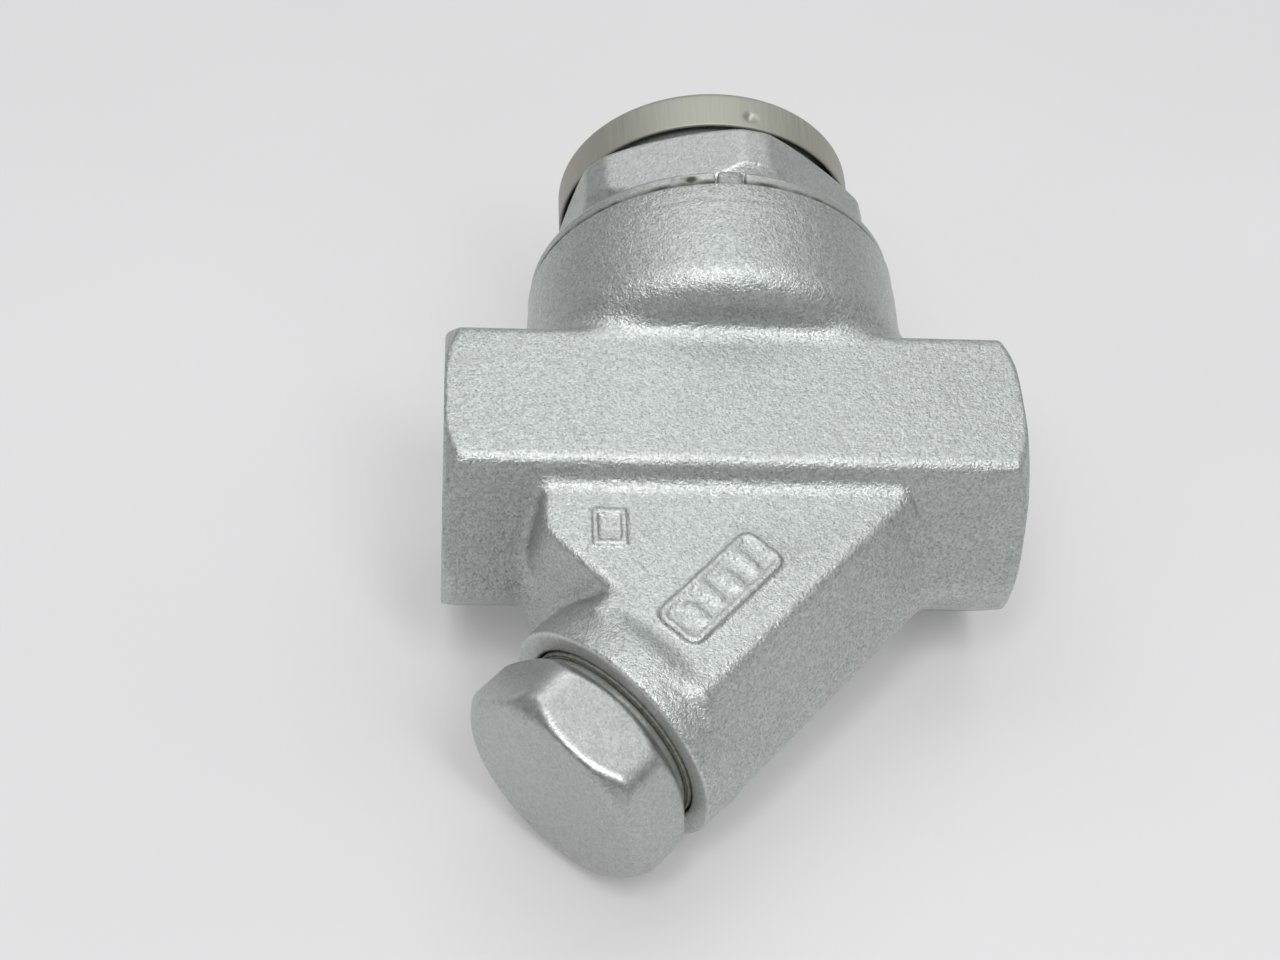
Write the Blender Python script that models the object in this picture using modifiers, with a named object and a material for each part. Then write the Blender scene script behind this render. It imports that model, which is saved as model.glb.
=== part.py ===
"""Thermodynamic disc steam trap with an integral Y strainer, screwed ends, lying on its side.

Units are metres. The pipe axis is +X (steam enters at +X and leaves at -X), the bonnet axis is +Y,
and +Z is up while the trap lies on a bench. The origin is the centre of the footprint on the bench.
"""

import math

import bmesh
import bpy
from mathutils import Euler, Matrix, Vector

MM = 0.001
GAP = 0.3 * MM

# Pipe run: a hexagon bar along X with two flats up and down
PIPE_HALF_LENGTH = 40 * MM
PIPE_HALF_FLATS = 19 * MM
PIPE_EDGE_FLAT = 2.0 * MM
PIPE_END_RADIUS = 19.4 * MM
PIPE_CHAMFER_LENGTH = 2.1 * MM
PORT_RADIUS = 9.4 * MM
PORT_MOUTH_RADIUS = 11.2 * MM
PORT_DEPTH = 15 * MM

# Bonnet: a round boss along Y that takes the replaceable valve module
BONNET_RADIUS = 27.85 * MM
RIM_RADIUS = 27.6 * MM
RIM_Y = 31.3 * MM
RIM_BAND = 3.6 * MM
BONNET_FOOT_Y = 12 * MM
BONNET_SHOULDER = 5 * MM
CHAMBER_RADIUS = 20.3 * MM
CHAMBER_FLOOR_Y = 17 * MM
LUG_WIDTH = 3.6 * MM
LUG_HEIGHT = 2.4 * MM
LUG_CENTRE = 25.6 * MM

# Strainer leg: leaves the pipe at an angle and carries a round boss at its end
LEG_ANGLE = math.radians(46)
LEG_X = 23.6 * MM
LEG_PLATEAU_Z = 15.6 * MM
LEG_PLATEAU_HALF = 9.4 * MM
LEG_SIDE_HALF = 17.4 * MM
LEG_SIDE_FLAT = 1.5 * MM
BOSS_RADIUS = 17.1 * MM
BOSS_START = 52.6 * MM
BOSS_END = 58.8 * MM
STRAINER_BORE = 10.9 * MM
STRAINER_SEAT = 17 * MM
THROAT_RADIUS = 8 * MM
RISER_RADIUS = 4 * MM
RETURN_RADIUS = 3.2 * MM
RETURN_TOP_X = -11.2 * MM
RETURN_LOW_X = -28 * MM
MOUTH_BORE = 12.6 * MM
MOUTH_START = 46 * MM
RECESS_RADIUS = 14.0 * MM
RECESS_START = 57.2 * MM

# Web between the pipe and the leg, and the raised foundry pad on the flat plateau
WEB_X = -26.6 * MM
WEB_PIPE_X = 4 * MM
WEB_TOP_Y = -8 * MM
WEB_LOW_Y = -20 * MM
WEB_BOSS_END = (50 * MM, -10.2 * MM)
WEB_LEG_END = (38 * MM, 0)
WEB_DRAFT = 5.1 * MM
PAD_START = 30.5 * MM
PAD_LENGTH = 18.5 * MM
PAD_WIDTH = 7 * MM
PAD_HEIGHT = 0.5 * MM
PAD_OFFSET = 0.5 * MM
PAD_CORNER = 1.6 * MM

# Cover nut: a chamfered hexagon with a washer face, a threaded neck below it and a round boss above
NUT_HALF_FLATS = 22.25 * MM
NUT_CORNER = 24.5 * MM
NUT_TURN = math.radians(18.6)
NUT_LOW = 36.1 * MM
NUT_HIGH = 46.3 * MM
NUT_LOW_CHAMFER = 2.9 * MM
NUT_HIGH_CHAMFER = 1.3 * MM
WASHER_RADIUS = 22.0 * MM
WASHER_LOW = 34.2 * MM
NUT_NECK = 20 * MM
NUT_BOSS = 20.9 * MM

# Outer cap over the nut's boss, held by three small dents
CAP_RADIUS = 22.7 * MM
CAP_WALL = 0.55 * MM
CAP_CORNER = 1.5 * MM
CAP_RIM_Y = 47.4 * MM
CAP_END_Y = 54.5 * MM
DENT_Y = 49.6 * MM
DENT_ANGLES = (78, 198, 318)

# Slotted ring on the bonnet's rim
RING_INNER = 20.4 * MM
RING_OUTER = 27.3 * MM
RING_HEIGHT = 2.2 * MM

# Strainer cap: a hexagon head with cut corners and a coned end
HEAD_HALF_FLATS = 14.75 * MM
HEAD_CORNER = 16.35 * MM
HEAD_TURN = math.radians(51.5)
HEAD_LOW = 60.5 * MM
HEAD_LOW_RADIUS = 14.1 * MM
HEAD_LOW_CHAMFER = 2.2 * MM
HEAD_CONE = 68.3 * MM
HEAD_HIGH = 70.3 * MM
HEAD_DOME = 71.1 * MM
SHOULDER_RADIUS = 13.4 * MM
SHOULDER_LOW = 59.3 * MM
PLUG_NECK = 12.2 * MM

COARSE = 32
FINE = 48

PIPE_TURN = Euler((0, math.pi / 2, 0))
BONNET_TURN = Euler((-math.pi / 2, 0, 0))
LEG_TURN = Euler((math.pi / 2, 0, LEG_ANGLE - math.pi / 2))
LEG_ROOT = Vector((LEG_X, 0, 0))
LEG_ALONG = Vector((-math.cos(LEG_ANGLE), -math.sin(LEG_ANGLE), 0))
LEG_ACROSS = Vector((math.sin(LEG_ANGLE), -math.cos(LEG_ANGLE), 0))


def clear_scene():
    for old in list(bpy.data.objects):
        bpy.data.objects.remove(old, do_unlink=True)


def new_collection(name):
    collection = bpy.data.collections.new(name)
    bpy.context.scene.collection.children.link(collection)
    return collection


def link(obj, collection):
    for owner in list(obj.users_collection):
        owner.objects.unlink(obj)
    collection.objects.link(obj)


def material(name, color, roughness, metallic):
    made = bpy.data.materials.new(name)
    made.use_nodes = True
    shader = made.node_tree.nodes["Principled BSDF"]
    shader.inputs["Base Color"].default_value = (*color, 1)
    shader.inputs["Roughness"].default_value = roughness
    shader.inputs["Metallic"].default_value = metallic
    return made


def place(obj, axis):
    """Sets obj on one of the three axes: its own Z then runs along the pipe, the bonnet or the leg."""
    obj.rotation_euler = axis["turn"]
    obj.location = axis["root"]
    return obj


def evaluated_copy(obj, name):
    """A plain mesh object with obj's modifiers worked in, in place of obj."""
    bpy.context.view_layer.update()
    graph = bpy.context.evaluated_depsgraph_get()
    mesh = bpy.data.meshes.new_from_object(obj.evaluated_get(graph))
    work = bmesh.new()
    work.from_mesh(mesh)
    bmesh.ops.remove_doubles(work, verts=work.verts, dist=1e-6)
    bmesh.ops.recalc_face_normals(work, faces=work.faces)
    work.to_mesh(mesh)
    work.free()
    made = bpy.data.objects.new(name, mesh)
    made.matrix_world = obj.matrix_world
    link(made, obj.users_collection[0])
    bpy.data.objects.remove(obj, do_unlink=True)
    made.name = name
    return made


def turned(name, profile, axis, steps=FINE, collection=None):
    """A turned solid. profile is (radius, distance along the axis) pairs, down the outer side from the far end."""
    mesh = bpy.data.meshes.new(name)
    points = [(radius, 0, along) for radius, along in profile]
    on_axis = profile[0][0] == 0 and profile[-1][0] == 0
    count = len(points)
    edges = [(i, i + 1) for i in range(count - 1)] + ([] if on_axis else [(count - 1, 0)])
    mesh.from_pydata(points, edges, [])
    obj = bpy.data.objects.new(name, mesh)
    link(obj, collection or PARTS)
    screw = obj.modifiers.new("Turn", "SCREW")
    screw.steps = steps
    screw.render_steps = steps
    screw.use_merge_vertices = True
    screw.merge_threshold = 0.00001
    screw.use_normal_calculate = True
    return evaluated_copy(place(obj, axis), name)


def ring(name, inner, outer, start, end, axis, steps=FINE, collection=None):
    profile = [(outer, end), (outer, start), (inner, start), (inner, end)]
    return turned(name, profile, axis, steps, collection)


def rod(name, radius, start, end, axis, steps=COARSE, collection=None):
    profile = [(0, end), (radius, end), (radius, start), (0, start)]
    return turned(name, profile, axis, steps, collection)


def arc(centre, radius, first, last, count):
    """Points of an arc in a turned profile. Angles are in degrees, 0 outwards and 90 along the axis."""
    angles = [math.radians(first + (last - first) * i / (count - 1)) for i in range(count)]
    return [(centre[0] + radius * math.cos(a), centre[1] + radius * math.sin(a)) for a in angles]


def prism(name, outline, start, end, axis, collection=None):
    """A flat outline, in the axis's own X and Y, extruded from start to end along it."""
    curve = bpy.data.curves.new(name, "CURVE")
    curve.dimensions = "2D"
    curve.fill_mode = "BOTH"
    curve.extrude = (end - start) / 2
    spline = curve.splines.new("POLY")
    spline.points.add(len(outline) - 1)
    for point, (x, y) in zip(spline.points, outline):
        point.co = (x, y, 0, 1)
    spline.use_cyclic_u = True
    obj = bpy.data.objects.new(name, curve)
    link(obj, collection or PARTS)
    place(obj, axis)
    middle = Vector((0, 0, (start + end) / 2))
    obj.location = axis["root"] + axis["turn"].to_matrix() @ middle
    return evaluated_copy(obj, name)


def hull(name, points, collection):
    """The convex solid round some points."""
    work = bmesh.new()
    for point in points:
        work.verts.new(point)
    bmesh.ops.convex_hull(work, input=work.verts)
    bmesh.ops.dissolve_limit(work, angle_limit=0.001, verts=work.verts, edges=work.edges)
    bmesh.ops.recalc_face_normals(work, faces=work.faces)
    mesh = bpy.data.meshes.new(name)
    work.to_mesh(mesh)
    work.free()
    obj = bpy.data.objects.new(name, mesh)
    link(obj, collection)
    return obj


def boolean(obj, other, operation):
    """Works other into obj. other moves to the cutters."""
    link(other, CUTTERS)
    other.parent = REST
    other.hide_render = True
    other.display_type = "WIRE"
    step = obj.modifiers.new(other.name, "BOOLEAN")
    step.operation = operation
    step.object = other
    return obj


def join(obj, *others):
    for other in others:
        boolean(obj, other, "UNION")
    return obj


def cut(obj, *others):
    for other in others:
        boolean(obj, other, "DIFFERENCE")
    return obj


def keep_inside(obj, other):
    return boolean(obj, other, "INTERSECT")


def finish(obj, paint):
    obj.data.materials.clear()
    obj.data.materials.append(paint)
    obj.data.shade_smooth()
    obj.data.set_sharp_from_angle(angle=math.radians(28))
    obj.parent = REST
    return obj


def hexagon(half_flats, corner, turn):
    """A hexagon's outline whose corners are cut flat. turn is the angle of one corner."""
    points = []
    half_width = math.tan(math.pi / 3) * (half_flats / math.cos(math.pi / 6) - corner)
    for side in range(6):
        middle = turn + side * math.pi / 3
        for offset in (-half_width, half_width):
            x = corner * math.cos(middle) - offset * math.sin(middle)
            y = corner * math.sin(middle) + offset * math.cos(middle)
            points.append((x, y))
    return points


def on_leg(along, across, up):
    return LEG_ROOT + LEG_ALONG * along + LEG_ACROSS * across + Vector((0, 0, up))


# ---------------------------------------------------------------- body

def pipe_run():
    vertex_y = PIPE_HALF_FLATS / math.sqrt(3)
    edge_y = 2 * vertex_y - PIPE_EDGE_FLAT / math.sqrt(3)
    quarter = [(PIPE_HALF_FLATS, vertex_y), (PIPE_EDGE_FLAT, edge_y)]
    outline = quarter + [(-x, y) for x, y in reversed(quarter)]
    outline += [(-x, -y) for x, y in outline]
    pipe = prism("pipe_run", outline, -PIPE_HALF_LENGTH, PIPE_HALF_LENGTH, PIPE)
    slope = (2 * vertex_y - PIPE_END_RADIUS) / PIPE_CHAMFER_LENGTH
    length = PIPE_HALF_LENGTH + MM
    small = PIPE_END_RADIUS - slope * MM
    large = 2 * vertex_y + slope * MM
    flat = PIPE_HALF_LENGTH - PIPE_CHAMFER_LENGTH - MM
    profile = [(0, length), (small, length), (large, flat), (large, -flat), (small, -length), (0, -length)]
    return keep_inside(pipe, turned("pipe_chamfers", profile, PIPE, 64, CUTTERS))


def bonnet():
    shoulder = arc(
        (BONNET_RADIUS - BONNET_SHOULDER, BONNET_FOOT_Y + BONNET_SHOULDER), BONNET_SHOULDER, 0, -90, 6
    )
    neck = PIPE_HALF_FLATS - MM
    profile = [(0, RIM_Y), (RIM_RADIUS, RIM_Y), (RIM_RADIUS, RIM_Y - RIM_BAND)]
    profile += [(BONNET_RADIUS, RIM_Y - RIM_BAND)] + shoulder
    profile += [(neck, BONNET_FOOT_Y), (neck, -2 * MM), (0, -2 * MM)]
    return turned("bonnet", profile, BONNET, 64)


def leg():
    corners = [
        (across, up)
        for across, up in (
            (LEG_PLATEAU_HALF, LEG_PLATEAU_Z),
            (LEG_SIDE_HALF, LEG_SIDE_FLAT),
            (LEG_SIDE_HALF, -LEG_SIDE_FLAT),
            (LEG_PLATEAU_HALF, -LEG_PLATEAU_Z),
        )
    ]
    corners += [(-across, up) for across, up in corners]
    points = [on_leg(along, across, up) for along in (10 * MM, BOSS_START + MM) for across, up in corners]
    return hull("leg", points, CUTTERS)


def web():
    """The plate that fills the acute corner between the pipe and the leg, with drafted sides."""
    plateau = [
        Vector((WEB_X, WEB_TOP_Y, 0)),
        Vector((WEB_X, WEB_LOW_Y, 0)),
        on_leg(*WEB_BOSS_END, 0),
        on_leg(*WEB_LEG_END, 0),
        Vector((WEB_PIPE_X, WEB_TOP_Y, 0)),
    ]
    half = LEG_PLATEAU_Z - 0.05 * MM
    points = [corner + Vector((0, 0, up)) for up in (half, -half) for corner in plateau]
    side = Vector((-0.7 * WEB_DRAFT, 0, 0))
    points += [plateau[0] + side, plateau[1] + side * 0.9 + LEG_ALONG * WEB_DRAFT * 0.5]
    points += [plateau[2] + LEG_ALONG * WEB_DRAFT]
    return hull("web", points, CUTTERS)


def boss():
    corner = 1.0 * MM
    profile = [(0, BOSS_END), (BOSS_RADIUS - corner, BOSS_END)]
    profile += arc((BOSS_RADIUS - corner, BOSS_END - corner), corner, 60, 0, 3)
    profile += [(BOSS_RADIUS, BOSS_START), (BOSS_RADIUS - 3 * MM, BOSS_START - 1.6 * MM)]
    profile += [(0, BOSS_START - 1.6 * MM)]
    return turned("boss", profile, LEG, FINE, CUTTERS)


def rounded_box(name, length, width, radius, start, end, axis, collection):
    corners = []
    for x, y, first in (
        (1, 1, 0),
        (-1, 1, 90),
        (-1, -1, 180),
        (1, -1, 270),
    ):
        middle = (x * (length / 2 - radius), y * (width / 2 - radius))
        corners += arc(middle, radius, first, first + 90, 4)
    return prism(name, corners, start, end, axis, collection)


def foundry_pad():
    """A raised pad with round ends on the plateau, along the leg."""
    middle = on_leg(PAD_START + PAD_LENGTH / 2, PAD_OFFSET, 0)
    axis = {"root": Vector((middle.x, middle.y, 0)), "turn": Euler((0, 0, LEG_ANGLE))}
    top = LEG_PLATEAU_Z + PAD_HEIGHT
    return rounded_box(
        "foundry_pad", PAD_LENGTH, PAD_WIDTH, PAD_CORNER, LEG_PLATEAU_Z - 5 * MM, top, axis, CUTTERS
    )


def rim_lug():
    """The lug on the bonnet's rim that keys the slotted ring."""
    axis = {"root": Vector((0, 0, LUG_CENTRE)), "turn": BONNET_TURN}
    half = LUG_WIDTH / 2
    outline = [(-half, -half), (half, -half), (half, half), (-half, half)]
    return prism("rim_lug", outline, RIM_Y - MM, RIM_Y + LUG_HEIGHT, axis, CUTTERS)


def port(name, side):
    mouth = PIPE_HALF_LENGTH
    chamfer = PORT_MOUTH_RADIUS - PORT_RADIUS
    profile = [
        (0, mouth + MM),
        (PORT_MOUTH_RADIUS + MM, mouth + MM),
        (PORT_RADIUS, mouth - chamfer),
        (PORT_RADIUS, mouth - PORT_DEPTH),
        (PORT_RADIUS * 0.6, mouth - PORT_DEPTH - 2 * MM),
        (0, mouth - PORT_DEPTH - 2 * MM),
    ]
    axis = {"root": Vector(), "turn": Euler((0, side * math.pi / 2, 0))}
    return turned(name, profile, axis, COARSE, CUTTERS)


def slanted_rod(name, radius, first, last):
    along = last - first
    axis = {"root": first, "turn": along.to_track_quat("Z", "Y").to_euler()}
    return rod(name, radius, 0, along.length, axis, 24, CUTTERS)


def passages():
    chamber = rod("module_chamber", CHAMBER_RADIUS, CHAMBER_FLOOR_Y, RIM_Y + 10 * MM, BONNET, FINE, CUTTERS)
    strainer = [
        (0, BOSS_END + 5 * MM),
        (RECESS_RADIUS, BOSS_END + 5 * MM),
        (RECESS_RADIUS, RECESS_START),
        (MOUTH_BORE, RECESS_START),
        (MOUTH_BORE, MOUTH_START),
        (STRAINER_BORE, MOUTH_START - 1.5 * MM),
        (STRAINER_BORE, STRAINER_SEAT),
        (THROAT_RADIUS, STRAINER_SEAT),
        (THROAT_RADIUS, -1 * MM),
        (0, -1 * MM),
    ]
    leg_bore = turned("strainer_bore", strainer, LEG, FINE, CUTTERS)
    top = CHAMBER_FLOOR_Y + MM
    riser = slanted_rod("riser", RISER_RADIUS, Vector((0, -11 * MM, 0)), Vector((0, top, 0)))
    low = Vector((RETURN_LOW_X, -2 * MM, 0))
    back = slanted_rod("return_passage", RETURN_RADIUS, Vector((RETURN_TOP_X, top, 0)), low)
    return [chamber, leg_bore, riser, back, port("inlet_port", 1), port("outlet_port", -1)]


def make_body():
    casting = pipe_run()
    join(casting, bonnet(), leg(), web(), boss(), foundry_pad())
    cut(casting, *passages())
    join(casting, rim_lug())
    casting.name = "body"
    return finish(casting, CAST_PAINT)


# ---------------------------------------------------------------- valve module

SEAT_BASE = CHAMBER_FLOOR_Y + 1.3 * MM
SEAT_FLANGE = SEAT_BASE + 3.6 * MM
SEAT_TOP = SEAT_BASE + 7.2 * MM
DISC_BASE = SEAT_TOP + GAP
DISC_TOP = DISC_BASE + 3.2 * MM
DISC_LIFT = 1.2 * MM
COVER_BASE = SEAT_FLANGE + GAP
DOME_TOP = 38 * MM
SEAT_RADIUS = 19.9 * MM
HUB_RADIUS = 12.0 * MM
INLET_RADIUS = 3.4 * MM
HOLE_CIRCLE = 7.1 * MM
HOLE_RADIUS = 1.25 * MM
DISC_RADIUS = 10.6 * MM
DOME_OUTER = 15.8 * MM
DOME_INNER = 13.9 * MM
DOME_CHAMFER = 3.2 * MM


def module_gaskets():
    low = CHAMBER_FLOOR_Y + GAP / 2
    high = SEAT_BASE - GAP / 2
    inner = RISER_RADIUS + 0.4 * MM
    finish(ring("inner_gasket", inner, inner + 2.8 * MM, low, high, BONNET, COARSE), GASKET)
    finish(ring("outer_gasket", SEAT_RADIUS - 2.9 * MM, SEAT_RADIUS, low, high, BONNET, FINE), GASKET)


def valve_seat():
    """Flanged seat: a central inlet, two seat rings, and an annular groove drained by holes."""
    groove = SEAT_TOP - 2.2 * MM
    profile = [
        (HUB_RADIUS - MM, SEAT_TOP),
        (HUB_RADIUS, SEAT_TOP - 1.2 * MM),
        (HUB_RADIUS, SEAT_FLANGE),
        (SEAT_RADIUS, SEAT_FLANGE),
        (SEAT_RADIUS, SEAT_BASE),
        (INLET_RADIUS, SEAT_BASE),
        (INLET_RADIUS, SEAT_TOP),
        (HOLE_CIRCLE - 2.1 * MM, SEAT_TOP),
        (HOLE_CIRCLE - 1.5 * MM, groove),
        (HOLE_CIRCLE + 1.5 * MM, groove),
        (HOLE_CIRCLE + 2.1 * MM, SEAT_TOP),
    ]
    seat = turned("valve_seat", profile, BONNET, FINE)
    for number in range(3):
        turn = math.radians(30 + 120 * number)
        root = Vector((math.cos(turn), 0, math.sin(turn))) * HOLE_CIRCLE
        axis = {"root": root, "turn": BONNET_TURN}
        name = f"outlet_hole_{number + 1}"
        cut(seat, rod(name, HOLE_RADIUS, SEAT_BASE - MM, SEAT_TOP, axis, 16, CUTTERS))
    return finish(seat, VALVE_STEEL)


def valve_disc():
    groove_radius = 6.9 * MM
    profile = [
        (0, DISC_TOP),
        (DISC_RADIUS - MM, DISC_TOP),
        (DISC_RADIUS, DISC_TOP - MM),
        (DISC_RADIUS, DISC_BASE),
        (groove_radius + 0.5 * MM, DISC_BASE),
        (groove_radius + 0.3 * MM, DISC_BASE + 0.5 * MM),
        (groove_radius - 0.3 * MM, DISC_BASE + 0.5 * MM),
        (groove_radius - 0.5 * MM, DISC_BASE),
        (0, DISC_BASE),
    ]
    return finish(turned("valve_disc", profile, BONNET, FINE), VALVE_STEEL)


def open_ring(name, inner, outer, start, end, opening, facing):
    """A ring with a gap of the given width, facing one way."""
    made = ring(name, inner, outer, start, end, BONNET, COARSE)
    half = opening / 2
    far = outer + 2 * MM
    turn = (BONNET_TURN.to_matrix() @ Euler((0, 0, facing)).to_matrix()).to_euler()
    axis = {"root": Vector(), "turn": turn}
    outline = [(0, -half), (far, -half), (far, half), (0, half)]
    return cut(made, prism(name + "_opening", outline, start - MM, end + MM, axis))


def air_vent_ring():
    inner = HUB_RADIUS + GAP
    outer = inner + 1.2 * MM
    facing = math.radians(200)
    made = open_ring("air_vent_ring", inner, outer, COVER_BASE, COVER_BASE + 2 * MM, 3 * MM, facing)
    return finish(made, BIMETAL)


def inner_cover():
    """The dome over the disc. A boss inside it stops the disc's lift."""
    stop = DISC_TOP + DISC_LIFT + GAP / 10
    ceiling = DOME_TOP - 3.5 * MM
    stop_radius = 4.4 * MM
    profile = [
        (0, DOME_TOP),
        (DOME_OUTER - DOME_CHAMFER, DOME_TOP),
        (DOME_OUTER, DOME_TOP - DOME_CHAMFER),
        (DOME_OUTER, COVER_BASE),
        (DOME_INNER, COVER_BASE),
        (DOME_INNER, ceiling - 1.5 * MM),
        (DOME_INNER - 1.5 * MM, ceiling),
        (stop_radius + 0.6 * MM, ceiling),
        (stop_radius, stop),
        (0, stop),
    ]
    return finish(turned("inner_cover", profile, BONNET, FINE), VALVE_STEEL)


def module_clip():
    inner = DOME_OUTER + GAP
    thick = 1.1 * MM
    facing = math.radians(270)
    made = open_ring("module_clip", inner, inner + thick, COVER_BASE, COVER_BASE + thick, 5 * MM, facing)
    return finish(made, SPRING_STEEL)


def locating_ring():
    """The slotted ring on the bonnet's rim. Its slot holds the rim's lug."""
    low = RIM_Y + GAP
    made = ring("locating_ring", RING_INNER, RING_OUTER, low, low + RING_HEIGHT, BONNET, 64)
    half = LUG_WIDTH / 2 + GAP
    slot_end = LUG_CENTRE - 2.2 * MM
    far = RING_OUTER + 2 * MM
    outline = [(-half, -far), (half, -far), (half, -slot_end), (-half, -slot_end)]
    slot = prism("ring_slot", outline, low - MM, low + RING_HEIGHT + MM, BONNET)
    return finish(cut(made, slot), CAST_PAINT)


# ---------------------------------------------------------------- cover

def cover_nut():
    """Hexagon cover. Its threaded neck reaches down into the bonnet and holds the module on its gaskets."""
    outline = hexagon(NUT_HALF_FLATS, NUT_CORNER, -NUT_TURN)
    nut = prism("cover_nut", outline, NUT_LOW - MM / 2, NUT_HIGH, BONNET)
    full = NUT_CORNER + 0.2 * MM
    rise = NUT_LOW_CHAMFER / (full - WASHER_RADIUS)
    fall = NUT_HIGH_CHAMFER / (full - WASHER_RADIUS)
    envelope = [
        (0, NUT_HIGH + MM),
        (WASHER_RADIUS - MM / fall, NUT_HIGH + MM),
        (full, NUT_HIGH - NUT_HIGH_CHAMFER),
        (full, NUT_LOW + NUT_LOW_CHAMFER),
        (WASHER_RADIUS - MM / rise, NUT_LOW - MM),
        (0, NUT_LOW - MM),
    ]
    keep_inside(nut, turned("nut_chamfers", envelope, BONNET, FINE, CUTTERS))
    boss_end = CAP_END_Y - CAP_WALL - GAP
    neck_end = COVER_BASE
    middle = (NUT_LOW + NUT_HIGH) / 2
    core = [
        (0, boss_end),
        (NUT_BOSS - MM, boss_end),
        (NUT_BOSS, boss_end - MM),
        (NUT_BOSS, middle),
        (WASHER_RADIUS, middle),
        (WASHER_RADIUS, WASHER_LOW),
        (NUT_NECK, WASHER_LOW),
        (NUT_NECK, neck_end + MM),
        (NUT_NECK - MM, neck_end),
        (0, neck_end),
    ]
    join(nut, turned("nut_core", core, BONNET, FINE, CUTTERS))
    roof = DOME_TOP + 0.4 * MM
    dome_edge = DOME_OUTER - DOME_CHAMFER + 0.4 * MM
    bore = 17.5 * MM
    pocket = [
        (0, roof),
        (dome_edge, roof),
        (dome_edge + 3.3 * MM, roof - 3.3 * MM),
        (bore, roof - 4.9 * MM),
        (bore, neck_end - MM),
        (0, neck_end - MM),
    ]
    cut(nut, turned("nut_pocket", pocket, BONNET, FINE, CUTTERS))
    return finish(nut, CAST_PAINT)


def insulation_cap():
    """Thin pressed cap over the nut's boss. Its dents reach in to the boss."""
    inner = CAP_RADIUS - CAP_WALL
    inner_corner = CAP_CORNER - CAP_WALL
    inner_end = CAP_END_Y - CAP_WALL
    profile = [(0, CAP_END_Y), (CAP_RADIUS - CAP_CORNER, CAP_END_Y)]
    profile += arc((CAP_RADIUS - CAP_CORNER, CAP_END_Y - CAP_CORNER), CAP_CORNER, 90, 0, 5)[1:]
    profile += [(CAP_RADIUS, CAP_RIM_Y), (inner, CAP_RIM_Y)]
    profile += arc((inner - inner_corner, inner_end - inner_corner), inner_corner, 0, 90, 4)
    profile += [(0, inner_end)]
    cap = turned("insulation_cap", profile, BONNET, FINE)
    tip = NUT_BOSS + GAP
    bump_top = inner + 0.2 * MM
    bump = [(0, bump_top), (1.7 * MM, bump_top), (1.2 * MM, tip + 0.4 * MM), (0.6 * MM, tip), (0, tip)]
    floor = tip + CAP_WALL
    dent_top = CAP_RADIUS + MM
    dent = [(0, dent_top), (1.9 * MM, dent_top), (1.0 * MM, floor + 0.25 * MM), (0.4 * MM, floor), (0, floor)]
    for degrees in DENT_ANGLES:
        out = Vector((math.cos(math.radians(degrees)), 0, math.sin(math.radians(degrees))))
        axis = {"root": Vector((0, DENT_Y, 0)), "turn": out.to_track_quat("Z", "Y").to_euler()}
        join(cap, turned(f"bump_{degrees}", bump, axis, 16, CUTTERS))
        cut(cap, turned(f"dent_{degrees}", dent, axis, 16, CUTTERS))
    return finish(cap, BRUSHED_STEEL)


# ---------------------------------------------------------------- strainer

SCREEN_START = STRAINER_SEAT + GAP
SCREEN_END = 56 * MM
SCREEN_RADIUS = 9.3 * MM
SCREEN_WALL = 0.6 * MM
MESH_WALL = 0.3 * MM


def strainer_cap():
    """Hexagon plug with a threaded neck, hollow to take the lower end of the screen."""
    outline = hexagon(HEAD_HALF_FLATS, HEAD_CORNER, HEAD_TURN)
    cap = prism("strainer_cap", outline, HEAD_LOW, HEAD_DOME, LEG)
    full = HEAD_CORNER + 0.25 * MM
    rise = HEAD_LOW_CHAMFER / (full - HEAD_LOW_RADIUS)
    cone_end = full - (HEAD_HIGH - HEAD_CONE)
    envelope = [
        (0, HEAD_DOME),
        (cone_end / 2, HEAD_DOME - 0.15 * MM),
        (cone_end - 1.2 * MM, HEAD_HIGH + 0.4 * MM),
        (cone_end, HEAD_HIGH),
        (full, HEAD_CONE),
        (full, HEAD_LOW + HEAD_LOW_CHAMFER),
        (HEAD_LOW_RADIUS - MM / rise, HEAD_LOW - MM),
        (0, HEAD_LOW - MM),
    ]
    keep_inside(cap, turned("head_envelope", envelope, LEG, FINE, CUTTERS))
    neck_end = MOUTH_START + 2 * MM
    neck = [
        (0, HEAD_LOW + MM),
        (SHOULDER_RADIUS, HEAD_LOW + MM),
        (SHOULDER_RADIUS, SHOULDER_LOW),
        (PLUG_NECK, SHOULDER_LOW),
        (PLUG_NECK, neck_end + MM),
        (PLUG_NECK - MM, neck_end),
        (0, neck_end),
    ]
    join(cap, turned("cap_neck", neck, LEG, 40, CUTTERS))
    bore = SCREEN_RADIUS + 0.6 * MM
    pocket = [(0, SCREEN_END + 2 * MM), (bore, SCREEN_END + 2 * MM), (bore, MOUTH_START), (0, MOUTH_START)]
    cut(cap, turned("cap_pocket", pocket, LEG, 40, CUTTERS))
    return finish(cap, CAST_PAINT)


def strainer_gasket():
    """Sits in the boss's recess, under the plug's shoulder."""
    low = RECESS_START + GAP
    high = SHOULDER_LOW - GAP
    made = ring("strainer_gasket", PLUG_NECK + GAP, RECESS_RADIUS - GAP, low, high, LEG, 40)
    return finish(made, GASKET)


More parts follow.
